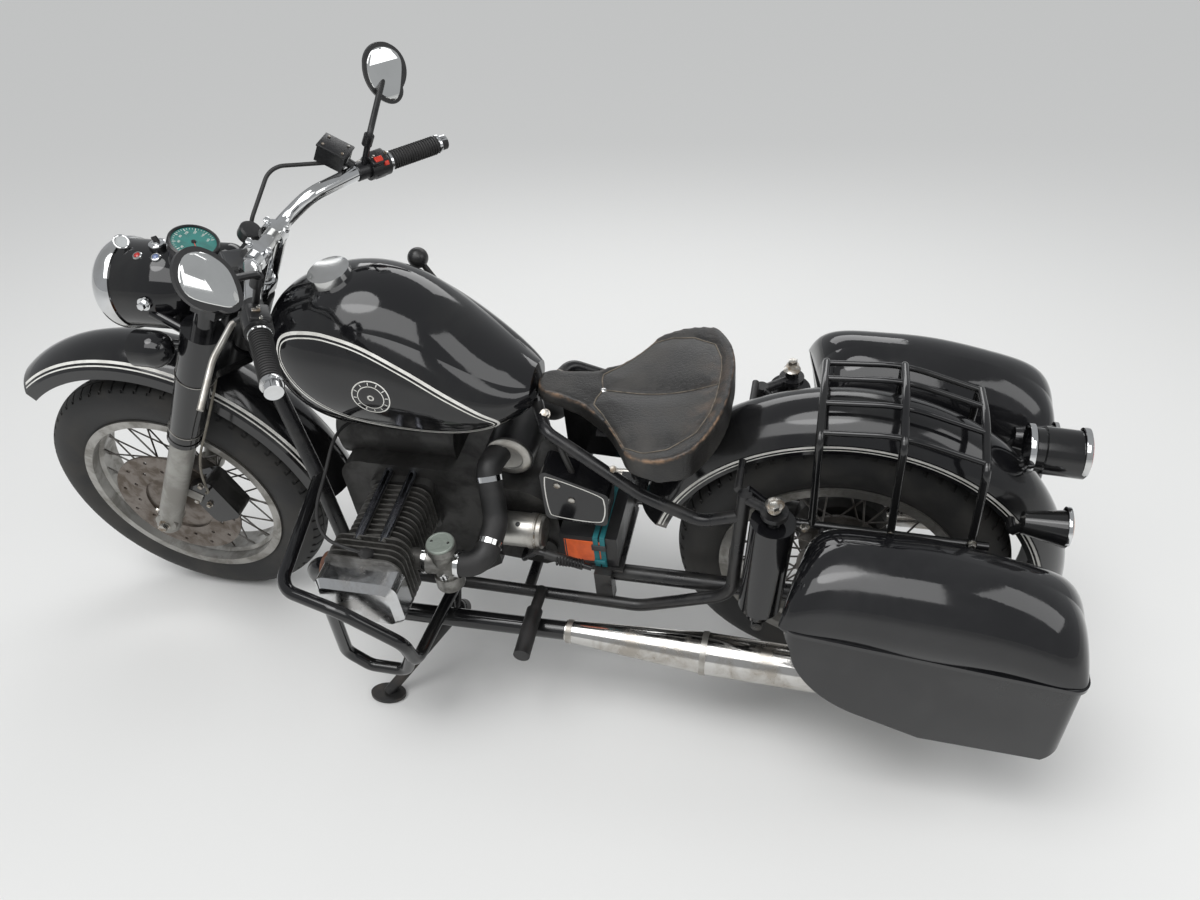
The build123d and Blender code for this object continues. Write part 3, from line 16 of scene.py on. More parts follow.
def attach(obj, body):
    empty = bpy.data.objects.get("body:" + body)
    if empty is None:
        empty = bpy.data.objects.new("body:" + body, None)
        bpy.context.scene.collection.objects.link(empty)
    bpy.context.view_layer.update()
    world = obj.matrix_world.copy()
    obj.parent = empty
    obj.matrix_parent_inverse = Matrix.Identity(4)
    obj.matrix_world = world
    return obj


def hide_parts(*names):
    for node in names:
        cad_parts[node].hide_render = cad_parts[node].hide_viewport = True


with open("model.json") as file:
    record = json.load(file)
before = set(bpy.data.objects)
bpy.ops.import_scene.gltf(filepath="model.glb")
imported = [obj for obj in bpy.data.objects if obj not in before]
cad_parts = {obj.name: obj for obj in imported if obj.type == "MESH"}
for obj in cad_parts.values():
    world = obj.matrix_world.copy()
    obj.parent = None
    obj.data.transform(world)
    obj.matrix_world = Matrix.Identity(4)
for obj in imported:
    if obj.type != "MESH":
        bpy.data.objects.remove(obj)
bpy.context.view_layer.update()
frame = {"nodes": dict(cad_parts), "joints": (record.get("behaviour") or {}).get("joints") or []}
nodes = frame["nodes"]
print("the frame holds", len(nodes), "nodes")

# %% [markdown]
# ## Two helper frames
# The motorcycle leans on its stand, which makes it awkward to place anything on it directly. So
# each piece is drawn on an upright machine, with x forward, y to the rider's left and z up, and one
# matrix leans it over at the end. The joints say where that matrix lies: the rear wheel's axle gives
# the lean, and the steering joint's axis gives the rake of a second frame for fork and handlebar.
# Small things are drawn in millimetres, so each frame also has a matrix that shrinks them to metres.

# %% The leaning frame and the steering frame
joints = {joint["name"]: joint for joint in frame["joints"]}
wheel_radius = 0.335
axle_place = Vector(joints["rear_wheel_turn"]["pos_m"])
axle_way = Vector(joints["rear_wheel_turn"]["axis"])
lean = math.atan2(-axle_way.z, axle_way.y)
machine = (Matrix.Translation(axle_place) @ Matrix.Rotation(-lean, 4, "X")
           @ Matrix.Translation((0.0, 0.0, -wheel_radius)))
steer_way = machine.to_3x3().inverted() @ Vector(joints["steering_turn"]["axis"])
rake = math.atan2(-steer_way.x, steer_way.z)
wheelbase = 1.516
fork_offset = 0.052
steer_foot = Vector((wheelbase - fork_offset * math.cos(rake), 0.0,
                     wheel_radius - fork_offset * math.sin(rake)))
steering = machine @ Matrix.Translation(steer_foot) @ Matrix.Rotation(-rake, 4, "Y")
to_metres = Matrix.Scale(0.001, 4)
upright = machine @ to_metres
steered = steering @ to_metres
print("lean", round(math.degrees(lean), 2), "rake", round(math.degrees(rake), 2))

# %% [markdown]
# ## The camera
# The photograph looks down on the machine from its left side. A short lens from close by makes the
# front wheel large and the rear narrow, so the lens matters as much as the angle.

# %% Camera
camera_data = bpy.data.cameras.new("camera")
camera_data.sensor_fit = "HORIZONTAL"
camera_data.sensor_width = 36.0
camera_data.lens = 29.805
camera = bpy.data.objects.new("camera", camera_data)
bpy.context.scene.collection.objects.link(camera)
bpy.context.scene.camera = camera
camera_yaw = math.radians(14.34)
camera_pitch = math.radians(31.2)
camera_roll = math.radians(2.22)
look = Vector((math.sin(camera_yaw) * math.cos(camera_pitch), -math.cos(camera_yaw) * math.cos(camera_pitch),
               -math.sin(camera_pitch)))
camera.rotation_mode = "QUATERNION"
camera.rotation_quaternion = look.to_track_quat("-Z", "Y") @ Quaternion((0.0, 0.0, 1.0), -camera_roll)
camera_from_axle = Vector((0.0643, 1.7180, 1.2760))
camera.location = axle_place + camera_from_axle
print("camera at", [round(v, 3) for v in camera.location])

# %% [markdown]
# ## Light and floor
# Black paint and chrome show little but what they reflect. A long lamp beside the machine gives the
# tank and the lids one clear bright shape, as the sky does out of doors, and the dim world keeps the
# rest of the paint dark. A wide sun lights the floor evenly, however far it reaches, and leaves a soft
# shadow under the machine. What the camera sees past the floor is pale, whatever lights the scene.

# %% World
scene = bpy.context.scene
scene.view_settings.view_transform = "Standard"
world = bpy.data.worlds.new("studio")
scene.world = world
world.use_nodes = True
sky = world.node_tree
sky_light = sky.nodes["Background"]
sky_light.inputs["Color"].default_value = (0.92, 0.94, 0.96, 1.0)
sky_light.inputs["Strength"].default_value = 0.42
sky_seen = sky.nodes.new("ShaderNodeBackground")
sky_seen.inputs["Color"].default_value = (0.84, 0.85, 0.86, 1.0)
sky_seen.inputs["Strength"].default_value = 1.0
sky_rays = sky.nodes.new("ShaderNodeLightPath")
sky_choice = sky.nodes.new("ShaderNodeMixShader")
sky.links.new(sky_rays.outputs["Is Camera Ray"], sky_choice.inputs["Fac"])
sky.links.new(sky_light.outputs["Background"], sky_choice.inputs[1])
sky.links.new(sky_seen.outputs["Background"], sky_choice.inputs[2])
sky.links.new(sky_choice.outputs["Shader"], sky.nodes["World Output"].inputs["Surface"])
print("world set")

# %% Lamps
middle = Vector((0.0, 0.0, 0.5))
sun_data = bpy.data.lights.new("soft_sun", "SUN")
sun_data.energy = 1.02
sun_data.angle = math.radians(34.0)
sun = bpy.data.objects.new("soft_sun", sun_data)
sun.rotation_mode = "QUATERNION"
sun_way = Vector((-0.25, -0.35, -1.0))
sun.rotation_quaternion = sun_way.to_track_quat("-Z", "Y")
scene.collection.objects.link(sun)
lamp_table = (
    # name, place, width, height, power in watts
    ("long_lamp", (0.0, 2.0, 3.0), 4.0, 1.9, 56.0),
    ("far_lamp", (0.3, -2.6, 2.6), 3.0, 1.2, 26.0),
    ("rear_lamp", (-3.0, 0.6, 2.4), 1.6, 1.6, 16.0),
)
for name, place, width, height, power in lamp_table:
    lamp_data = bpy.data.lights.new(name, "AREA")
    lamp_data.shape = "RECTANGLE"
    lamp_data.size = width
    lamp_data.size_y = height
    lamp_data.energy = power
    lamp = bpy.data.objects.new(name, lamp_data)
    lamp.location = place
    lamp.rotation_mode = "QUATERNION"
    lamp.rotation_quaternion = (middle - Vector(place)).to_track_quat("-Z", "Y")
    scene.collection.objects.link(lamp)
print(len(lamp_table) + 1, "lamps")

# %% Floor
floor_half = 40.0
floor_shape = bmesh.new()
bmesh.ops.create_grid(floor_shape, x_segments=1, y_segments=1, size=floor_half)
floor_mesh = bpy.data.meshes.new("floor")
floor_shape.to_mesh(floor_mesh)
floor_shape.free()
floor = bpy.data.objects.new("floor", floor_mesh)
scene.collection.objects.link(floor)
floor_paint = bpy.data.materials.new("pale_floor")
floor_paint.use_nodes = True
floor_shader = floor_paint.node_tree.nodes["Principled BSDF"]
floor_shader.inputs["Base Color"].default_value = (0.78, 0.78, 0.77, 1.0)
floor_shader.inputs["Roughness"].default_value = 0.9
floor_shader.inputs["Specular IOR Level"].default_value = 0.0
floor_mesh.materials.append(floor_paint)
print("floor", 2 * floor_half, "m across")

# %% [markdown]
# ## Effects that many finishes share
# An old machine has no even surface: dirt gathers in broad patches, and castings have a fine grain.
# Each of these effects is a node group, built once. A group puts out a mask or a height, and each
# finish decides what to do with it.

# %% Node group helpers
def new_group(name, inputs, outputs):
    """A shader node group with float inputs (name, default) and named float outputs."""
    tree = bpy.data.node_groups.new(name, "ShaderNodeTree")
    for socket, value in inputs:
        made = tree.interface.new_socket(socket, in_out="INPUT", socket_type="NodeSocketFloat")
        made.default_value = value
    for socket in outputs:
        tree.interface.new_socket(socket, in_out="OUTPUT", socket_type="NodeSocketFloat")
    return tree, tree.nodes.new("NodeGroupInput"), tree.nodes.new("NodeGroupOutput")


def add_node(tree, kind, settings=(), **values):
    """One node with its settings and its unlinked input values."""
    node = tree.nodes.new(kind)
    for key, value in settings:
        setattr(node, key, value)
    for socket, value in values.items():
        node.inputs[socket.replace("_", " ")].default_value = value
    return node


def linked_math(tree, operation, first, second):
    """A Math node fed by sockets or numbers."""
    node = tree.nodes.new("ShaderNodeMath")
    node.operation = operation
    for slot, feed in enumerate((first, second)):
        if isinstance(feed, (int, float)):
            node.inputs[slot].default_value = feed
        else:
            tree.links.new(feed, node.inputs[slot])
    return node.outputs["Value"]


# %% Patches: broad stains with soft edges
patches, group_in, group_out = new_group("patches", (("Scale", 8.0), ("Low", 0.4), ("High", 0.65)), ("Mask",))
where = patches.nodes.new("ShaderNodeTexCoord")
broad = add_node(patches, "ShaderNodeTexNoise", Detail=6.0, Roughness=0.62, Distortion=0.4)
ramp = add_node(patches, "ShaderNodeMapRange", (("interpolation_type", "SMOOTHSTEP"),))
patches.links.new(where.outputs["Object"], broad.inputs["Vector"])
patches.links.new(group_in.outputs["Scale"], broad.inputs["Scale"])
patches.links.new(broad.outputs["Fac"], ramp.inputs["Value"])
patches.links.new(group_in.outputs["Low"], ramp.inputs["From Min"])
patches.links.new(group_in.outputs["High"], ramp.inputs["From Max"])
patches.links.new(ramp.outputs["Result"], group_out.inputs["Mask"])
print("group", patches.name)

# %% Grain: the fine relief of a casting or of moulded plastic
grain, group_in, group_out = new_group("grain", (("Scale", 400.0), ("Pits", 0.5)), ("Height",))
where = grain.nodes.new("ShaderNodeTexCoord")
fine = add_node(grain, "ShaderNodeTexNoise", Detail=3.0, Roughness=0.6)
cells = add_node(grain, "ShaderNodeTexVoronoi")
grain.links.new(where.outputs["Object"], fine.inputs["Vector"])
grain.links.new(where.outputs["Object"], cells.inputs["Vector"])
grain.links.new(group_in.outputs["Scale"], fine.inputs["Scale"])
grain.links.new(group_in.outputs["Scale"], cells.inputs["Scale"])
pitted = linked_math(grain, "MULTIPLY", cells.outputs["Distance"], group_in.outputs["Pits"])
total = linked_math(grain, "ADD", fine.outputs["Fac"], pitted)
grain.links.new(total, group_out.inputs["Height"])
print("group", grain.name)

# %% [markdown]
# ## The finishes
# A finish is two colours and two roughnesses with a mask between them, and a relief. One table
# holds them side by side, because they differ in numbers and not in structure. Black paint, for
# one, is nearly black and smooth, with a clear coat, and duller where dust has settled on it.

# %% A finish from one row of the table
coat_roughness = 0.06
relief_height = 0.0006


def new_finish(name, clean, dirty, rough, dirty_rough, metal, coat, patch_scale, grain_scale, relief):
    """A Principled material that changes from clean to dirty in patches."""
    material = bpy.data.materials.new(name)
    material.use_nodes = True
    tree = material.node_tree
    shader = tree.nodes["Principled BSDF"]
    shader.inputs["Metallic"].default_value = metal
    shader.inputs["Coat Weight"].default_value = coat
    shader.inputs["Coat Roughness"].default_value = coat_roughness
    mask = add_node(tree, "ShaderNodeGroup", (("node_tree", patches),), Scale=patch_scale)
    colour = add_node(tree, "ShaderNodeMix", (("data_type", "RGBA"),))
    colour.inputs["A"].default_value = (*clean, 1.0)
    colour.inputs["B"].default_value = (*dirty, 1.0)
    tree.links.new(mask.outputs["Mask"], colour.inputs["Factor"])
    tree.links.new(colour.outputs["Result"], shader.inputs["Base Color"])
    dull = add_node(tree, "ShaderNodeMapRange", To_Min=rough, To_Max=dirty_rough)
    tree.links.new(mask.outputs["Mask"], dull.inputs["Value"])
    tree.links.new(dull.outputs["Result"], shader.inputs["Roughness"])
    surface = add_node(tree, "ShaderNodeGroup", (("node_tree", grain),), Scale=grain_scale)
    bump = add_node(tree, "ShaderNodeBump", Strength=relief, Distance=relief_height)
    tree.links.new(surface.outputs["Height"], bump.inputs["Height"])
    tree.links.new(bump.outputs["Normal"], shader.inputs["Normal"])
    return material


finish_table = (
    # name, clean colour, dirty colour, roughness, dirty roughness, metallic, coat,
    # scale of the patches, scale of the grain, strength of the relief
    ("black_paint", (0.006, 0.006, 0.007), (0.011, 0.011, 0.011), 0.07, 0.16, 0.0, 0.25, 5.0, 60.0, 0.01),
    ("fender_paint", (0.007, 0.007, 0.008), (0.014, 0.014, 0.014), 0.10, 0.22, 0.0, 0.2, 6.0, 60.0, 0.02),
    ("frame_paint", (0.010, 0.010, 0.011), (0.026, 0.025, 0.024), 0.26, 0.46, 0.0, 0.0, 14.0, 300.0, 0.08),
    ("bright_chrome", (0.72, 0.73, 0.74), (0.60, 0.60, 0.59), 0.05, 0.12, 1.0, 0.0, 9.0, 80.0, 0.01),
    ("worn_chrome", (0.62, 0.61, 0.59), (0.42, 0.39, 0.35), 0.10, 0.30, 1.0, 0.0, 18.0, 200.0, 0.08),
    ("dark_chrome", (0.34, 0.36, 0.40), (0.22, 0.22, 0.25), 0.12, 0.28, 1.0, 0.0, 12.0, 90.0, 0.02),
    ("dull_rim_alloy", (0.40, 0.39, 0.37), (0.25, 0.24, 0.22), 0.34, 0.55, 0.85, 0.0, 20.0, 500.0, 0.20),
    ("spoke_steel", (0.20, 0.19, 0.18), (0.10, 0.09, 0.08), 0.35, 0.55, 0.8, 0.0, 20.0, 500.0, 0.10),
    ("slider_alloy", (0.36, 0.355, 0.33), (0.26, 0.25, 0.23), 0.40, 0.56, 0.6, 0.0, 9.0, 400.0, 0.12),
    ("engine_alloy", (0.150, 0.146, 0.138), (0.078, 0.075, 0.070), 0.40, 0.56, 0.65, 0.0, 30.0, 900.0, 0.25),
    # the case finish is painted near-black, mostly as painted shade for the shade low in the machine, partly
    # as dirt in its darker patches
    ("shade_darkened_case_alloy", (0.060, 0.059, 0.057), (0.030, 0.029, 0.028), 0.38, 0.56, 0.6, 0.0, 15.0, 800.0, 0.30),
    ("carb_alloy", (0.26, 0.255, 0.24), (0.12, 0.116, 0.106), 0.34, 0.52, 0.8, 0.0, 26.0, 600.0, 0.22),
    ("polished_alloy", (0.66, 0.67, 0.68), (0.48, 0.47, 0.46), 0.13, 0.30, 1.0, 0.0, 14.0, 200.0, 0.03),
    ("satin_alloy", (0.50, 0.49, 0.46), (0.34, 0.32, 0.29), 0.28, 0.44, 0.9, 0.0, 14.0, 400.0, 0.12),
    ("brake_steel", (0.21, 0.185, 0.165), (0.13, 0.105, 0.085), 0.36, 0.58, 0.85, 0.0, 26.0, 500.0, 0.20),
    ("bolt_steel", (0.50, 0.49, 0.46), (0.24, 0.19, 0.14), 0.26, 0.50, 1.0, 0.0, 60.0, 900.0, 0.15),
    ("black_rubber", (0.010, 0.010, 0.010), (0.021, 0.020, 0.020), 0.46, 0.66, 0.0, 0.0, 15.0, 700.0, 0.20),
    ("tyre_rubber", (0.017, 0.017, 0.017), (0.042, 0.040, 0.037), 0.62, 0.80, 0.0, 0.0, 8.0, 800.0, 0.30),
    ("black_plastic", (0.008, 0.008, 0.009), (0.018, 0.018, 0.018), 0.30, 0.46, 0.0, 0.0, 10.0, 900.0, 0.20),
    ("box_plastic", (0.030, 0.031, 0.033), (0.048, 0.048, 0.047), 0.48, 0.62, 0.0, 0.0, 10.0, 900.0, 0.30),
    ("pannier_gloss", (0.006, 0.006, 0.007), (0.012, 0.012, 0.013), 0.06, 0.18, 0.0, 0.25, 4.0, 90.0, 0.01),
    ("bin_plastic", (0.008, 0.008, 0.009), (0.018, 0.018, 0.019), 0.14, 0.28, 0.0, 0.0, 6.0, 700.0, 0.12),
    ("stand_steel", (0.022, 0.022, 0.022), (0.060, 0.052, 0.045), 0.42, 0.62, 0.2, 0.0, 18.0, 400.0, 0.20),
    ("seam_thread", (0.150, 0.125, 0.095), (0.060, 0.052, 0.042), 0.55, 0.70, 0.0, 0.0, 40.0, 700.0, 0.30),
    ("line_white", (0.80, 0.79, 0.75), (0.62, 0.61, 0.57), 0.30, 0.44, 0.0, 0.1, 24.0, 200.0, 0.02),
    ("mirror_glass", (0.82, 0.83, 0.82), (0.74, 0.75, 0.74), 0.03, 0.06, 1.0, 0.0, 7.0, 60.0, 0.00),
    ("amber_lens", (0.72, 0.22, 0.02), (0.58, 0.16, 0.01), 0.12, 0.24, 0.0, 0.4, 12.0, 120.0, 0.02),
    ("red_lens", (0.42, 0.010, 0.008), (0.30, 0.008, 0.006), 0.12, 0.24, 0.0, 0.4, 12.0, 120.0, 0.02),
    ("clear_lens", (0.62, 0.64, 0.64), (0.50, 0.51, 0.50), 0.10, 0.22, 0.35, 0.4, 12.0, 160.0, 0.05),
    ("dial_teal", (0.035, 0.19, 0.17), (0.030, 0.14, 0.125), 0.40, 0.55, 0.0, 0.0, 30.0, 300.0, 0.02),
    ("switch_red", (0.72, 0.045, 0.02), (0.52, 0.035, 0.02), 0.34, 0.50, 0.0, 0.0, 30.0, 300.0, 0.05),
    ("pilot_blue", (0.18, 0.24, 0.42), (0.14, 0.18, 0.32), 0.10, 0.20, 0.0, 0.4, 30.0, 300.0, 0.02),
    ("battery_orange", (0.80, 0.13, 0.02), (0.60, 0.09, 0.02), 0.34, 0.50, 0.0, 0.1, 14.0, 300.0, 0.05),
    ("strap_teal", (0.010, 0.150, 0.170), (0.008, 0.100, 0.115), 0.50, 0.66, 0.0, 0.0, 20.0, 900.0, 0.35),
    ("cap_green", (0.34, 0.38, 0.34), (0.24, 0.27, 0.24), 0.38, 0.56, 0.5, 0.0, 26.0, 300.0, 0.10),
    ("hose_beige", (0.15, 0.135, 0.105), (0.08, 0.072, 0.058), 0.52, 0.66, 0.0, 0.0, 26.0, 500.0, 0.10),
    ("port_rust", (0.22, 0.105, 0.065), (0.12, 0.062, 0.045), 0.55, 0.75, 0.5, 0.0, 30.0, 400.0, 0.35),
)
finishes = {}
for row in finish_table:
    finishes[row[0]] = new_finish(*row)
print(len(finishes), "finishes")

# %% Give every carried-over node its finish
node_finish = {
    "black_paint": ("fork_covers", "fork_yokes", "headlamp_shell", "front_indicators", "brake_caliper",
                    "fuel_tank", "shock_absorbers", "crash_bars", "luggage_rack", "tail_lamp",
                    "rear_indicators", "tool_boxes"),
    "fender_paint": ("front_fender", "rear_fender", "exhaust_pipes"),
    "frame_paint": ("frame_backbone", "frame_cradle", "frame_seat_rails", "frame_crossmembers",
                    "saddle_mount", "swing_arm", "foot_controls", "pannier_brackets", "frame_lugs",
                    "reverse_lever"),
    "bright_chrome": ("handlebar", "headlamp_rim", "fuel_cap"),
    "worn_chrome": ("silencers",),
    "dull_rim_alloy": ("front_rim", "rear_rim"),
    "spoke_steel": ("front_hub", "rear_hub"),
    "slider_alloy": ("fork_sliders",),
    "engine_alloy": ("cylinders",),
    # crankcase, final drive and gearbox take a near-black alloy: painted shade, with dirt in patches
    "shade_darkened_case_alloy": ("final_drive", "crankcase", "gearbox"),
    "carb_alloy": ("carburettors",),
    "polished_alloy": ("rocker_covers",),
    "satin_alloy": ("starter_motor",),
    "brake_steel": ("front_disc",),
    "tyre_rubber": ("front_tyre", "rear_tyre"),
    "black_rubber": ("grips", "intake_hoses", "footpegs", "control_cables"),
    "black_plastic": ("hand_controls", "mirrors", "speedometer", "air_cleaner", "battery", "saddle"),
    "pannier_gloss": ("pannier_lid_left", "pannier_lid_right"),
    "bin_plastic": ("pannier_bin_left", "pannier_bin_right"),
    "clear_lens": ("headlamp_lens",),
    "stand_steel": ("side_stand",),
}
for finish, wearers in node_finish.items():
    for wearer in wearers:
        mesh = nodes[wearer].data
        mesh.materials.clear()
        mesh.materials.append(finishes[finish])
dressed = {wearer for wearers in node_finish.values() for wearer in wearers}
print("left without a finish:", sorted(set(nodes) - dressed))

# %% [markdown]
# ## Two finishes on one node
# A brake lever is bright where its switch housing is black, though both are one solid here. A face
# can take its own material slot without any change of shape, so a region is named by a box in one of
# the helper frames, and every face whose middle lies in it takes the second finish.

# %% A second finish inside a box
def also_finish(wearer, finish, frame_matrix, low, high):
    """Give the faces of a node that lie in a box, in millimetres, another finish."""
    mesh = nodes[wearer].data
    names = [material.name for material in mesh.materials]
    if finish not in names:
        mesh.materials.append(finishes[finish])
        names.append(finish)
    slot = names.index(finish)
    inverse = frame_matrix.inverted()
    count = 0
    for face in mesh.polygons:
        spot = inverse @ face.center
        if all(low[i] <= spot[i] <= high[i] for i in range(3)):
            face.material_index = slot
            count += 1
    return count


second_finish = (
    # node, finish, frame, low corner, high corner
    ("hand_controls", "satin_alloy", steered, (-90.0, -420.0, 800.0), (-30.0, -262.0, 884.0)),
    ("hand_controls", "satin_alloy", steered, (-90.0, 262.0, 800.0), (-30.0, 420.0, 884.0)),
    ("grips", "bright_chrome", steered, (-200.0, 386.0, 900.0), (-100.0, 420.0, 960.0)),
    ("grips", "bright_chrome", steered, (-200.0, -420.0, 900.0), (-100.0, -386.0, 960.0)),
    ("cylinders", "dark_chrome", upright, (820.0, -262.0, 556.0), (930.0, 262.0, 600.0)),
    ("shock_absorbers", "bright_chrome", upright, (80.0, -300.0, 655.0), (200.0, 300.0, 680.0)),
    ("fork_yokes", "bright_chrome", steered, (-22.0, -22.0, 724.0), (22.0, 22.0, 760.0)),
    ("fork_yokes", "bright_chrome", steered, (-60.0, -60.0, 760.0), (60.0, 60.0, 860.0)),
)
for wearer, finish, frame_matrix, low, high in second_finish:
    print(wearer, finish, also_finish(wearer, finish, frame_matrix, low, high), "faces")

# %% [markdown]
# ## A small workshop
# The pieces that follow are small and many: rings, bolts, lamps, clamps. They share a few helpers.
# A profile spun about an axis makes anything round, a cone with six sides and equal ends makes a bolt
# head, and a cube with its edges bevelled makes a housing. Each finished part is moved into place and
# joined to a larger mesh, so that one object holds many small things that move together.

# %% Helpers for shapes
FULL_TURN = 2.0 * math.pi
UP = (0.0, 0.0, 1.0)
FORWARD = (1.0, 0.0, 0.0)
BACK = (-1.0, 0.0, 0.0)


def placed(place, across, upward, out):
    """A matrix that turns a part's x, y and z axes to three directions, at a place."""
    return Matrix.Translation(place) @ Matrix((across, upward, out)).transposed().to_4x4()


def aimed(place, way):
    """A matrix that stands a part's z axis along a direction, at a place."""
    return Matrix.Translation(place) @ Vector(way).to_track_quat("Z", "Y").to_matrix().to_4x4()


def pour(shape, part):
    """Add a part to a larger mesh and let go of the part."""
    carrier = bpy.data.meshes.new("carrier")
    part.to_mesh(carrier)
    part.free()
    shape.from_mesh(carrier)
    bpy.data.meshes.remove(carrier)


def add_part(shape, part, place, slot=0):
    """Close a part, move it into place and join it to a larger mesh."""
    bmesh.ops.remove_doubles(part, verts=part.verts, dist=0.0005)
    bmesh.ops.recalc_face_normals(part, faces=part.faces)
    bmesh.ops.transform(part, matrix=place, verts=part.verts)
    for face in part.faces:
        face.material_index = slot
    pour(shape, part)


def add_turned(shape, profile, place, slot=0, steps=32):
    """Spin a profile of (radius, height) points, given from bottom to top, about its z axis."""
    part = bmesh.new()
    corners = [part.verts.new((radius, 0.0, height)) for radius, height in profile]
    edges = [part.edges.new(pair) for pair in zip(corners, corners[1:])]
    bmesh.ops.spin(part, geom=corners + edges, cent=(0.0, 0.0, 0.0), axis=(0.0, 0.0, 1.0),
                   angle=FULL_TURN, steps=steps, use_merge=True)
    add_part(shape, part, place, slot)


def add_ring(shape, radius, thickness, place, slot=0, steps=40, sides=8):
    """A round wire bent to a circle about the z axis."""
    turns = [FULL_TURN * i / sides for i in range(sides + 1)]
    profile = [(radius + thickness * math.cos(a), thickness * math.sin(a)) for a in turns]
    add_turned(shape, profile, place, slot, steps)


def add_band(shape, inner, outer, half, place, slot=0, steps=36, crown=None):
    """A band round the z axis, flat or with a crown round its middle."""
    middle_corner = () if crown is None else ((crown, 0.0),)
    add_turned(shape, ((inner, -half), (outer, -half), *middle_corner, (outer, half), (inner, half),
                       (inner, -half)), place, slot, steps)


def add_screw(shape, radius, height, place, slot=0):
    """A small round screw head, a little higher at its middle."""
    add_turned(shape, ((0.0, 0.0), (radius, 0.0), (radius, height), (0.0, height + 0.4)), place, slot, 12)


def add_bolt(shape, place, way, radius, slot=0):
    """A washer and a hexagon head with a softened top."""
    seat = aimed(place, way)
    washer = radius * 1.25
    washer_top = 1.2
    add_turned(shape, ((0.0, -1.0), (washer, -1.0), (washer, washer_top), (0.0, washer_top)), seat, slot, 20)
    part = bmesh.new()
    bmesh.ops.create_cone(part, cap_ends=True, segments=6, radius1=radius, radius2=radius,
                          depth=radius * 1.1)
    top = [edge for edge in part.edges if all(vert.co.z > 0.0 for vert in edge.verts)]
    bmesh.ops.bevel(part, geom=top, offset=radius * 0.14, affect="EDGES", segments=2, profile=0.5,
                    material=-1)
    add_part(shape, part, seat @ Matrix.Translation((0.0, 0.0, washer_top + radius * 0.55)), slot)


def add_block(shape, size, place, slot=0, bevel=2.0):
    """A box with rounded edges."""
    part = bmesh.new()
    bmesh.ops.create_cube(part, size=1.0)
    bmesh.ops.scale(part, vec=size, verts=part.verts)
    bmesh.ops.bevel(part, geom=list(part.edges), offset=bevel, affect="EDGES", segments=3, profile=0.5,
                    material=-1)
    add_part(shape, part, place, slot)


def curve_part(curve):
    """A curve or a text as a mesh. The curve itself isn't kept."""
    holder = bpy.data.objects.new(curve.name, curve)
    mesh = bpy.data.meshes.new_from_object(holder)
    part = bmesh.new()
    part.from_mesh(mesh)
    bpy.data.objects.remove(holder)
    bpy.data.curves.remove(curve)
    bpy.data.meshes.remove(mesh)
    return part


def add_wire(shape, points, radius, slot=0):
    """A bent round wire along a smooth curve through a few given points."""
    curve = bpy.data.curves.new("wire", "CURVE")
    curve.dimensions = "3D"
    curve.bevel_depth = radius
    curve.bevel_resolution = 3
    curve.use_fill_caps = True
    line = curve.splines.new("NURBS")
    line.points.add(len(points) - 1)
    for point, spot in zip(line.points, points):
        point.co = (*spot, 1.0)
    line.order_u = 3
    line.use_endpoint_u = True
    add_part(shape, curve_part(curve), Matrix.Identity(4), slot)


def make_piece(name, shape, body, materials, frame_matrix=Matrix.Identity(4), sharp=35.0):
    """Turn a finished mesh into an object that sits at the origin and rides on a body."""
    bmesh.ops.transform(shape, matrix=frame_matrix, verts=shape.verts)
    mesh = bpy.data.meshes.new(name)
    shape.to_mesh(mesh)
    shape.free()
    for material in materials:
        mesh.materials.append(finishes[material])
    mesh.polygons.foreach_set("use_smooth", [True] * len(mesh.polygons))
    mesh.set_sharp_from_angle(angle=math.radians(sharp))
    piece = bpy.data.objects.new(name, mesh)
    bpy.context.scene.collection.objects.link(piece)
    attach(piece, body)
    print(name, "rides on", body, "with", len(mesh.polygons), "faces")
    return piece


# %% [markdown]
# ## Painted lines
# The fenders, the tank and the side boxes wear thin white lines. A line in the material would blur
# when the finish is baked, so each is a strip of its own that lies on the surface. A flat grid, one
# face wide and many faces long, has its vertices sent along rays until they meet the surface, and
# then they stand off it by less than half a millimetre.

# %% A strip of paint laid on a node
paint_lift = 0.0004
turn_only = upright.to_3x3().normalized()


def ray_target(mesh):
    """The faces of a mesh, ready for rays."""
    return BVHTree.FromPolygons([vert.co for vert in mesh.vertices],
                                [face.vertices for face in mesh.polygons])


def from_side(side):
    """Rays that go straight in from one side of the machine, the same all along a strip."""
    way = turn_only @ Vector((0.0, -side, 0.0))
    return lambda along: way


def lay_strip(shape, target, start_at, ray_way, steps):
    """Lay a strip on a surface. start_at(along, edge) is where a ray starts, in metres in the world."""
    part = bmesh.new()
    bmesh.ops.create_grid(part, x_segments=steps, y_segments=1, size=1.0)
    missed = []
    for vert in part.verts:
        along, edge = 0.5 * (vert.co.x + 1.0), vert.co.y
        spot, normal, _, _ = target.ray_cast(start_at(along, edge), ray_way(along))
        if spot is None:
            missed.append(vert)
        else:
            vert.co = spot + normal * paint_lift
    bmesh.ops.delete(part, geom=missed, context="VERTS")
    bmesh.ops.remove_doubles(part, verts=part.verts, dist=0.0002)
    bmesh.ops.recalc_face_normals(part, faces=part.faces)
    pour(shape, part)
    return len(missed)


# %% Lines round the front fender
line_pair = ((0.0, 4.8), (7.2, 2.1))
front_line_y = 58.0
front_centre = Vector((1508.0, 0.0, 350.0))
front_arc = (52.5, 118.0)
outside_fender = 500.0


def arc_angle(arc, along):
    """The angle part of the way along an arc, given by its start and its span in degrees."""
    return math.radians(arc[0] + arc[1] * along)


def round_wheel(centre, radius, y, angle):
    """A place round a wheel's centre, in the world."""
    return upright @ (centre + Vector((radius * math.cos(angle), y, radius * math.sin(angle))))


def to_front_centre(along):
    """Rays that go in towards the middle of the front wheel."""
    angle = arc_angle(front_arc, along)
    return turn_only @ Vector((-math.cos(angle), 0.0, -math.sin(angle)))


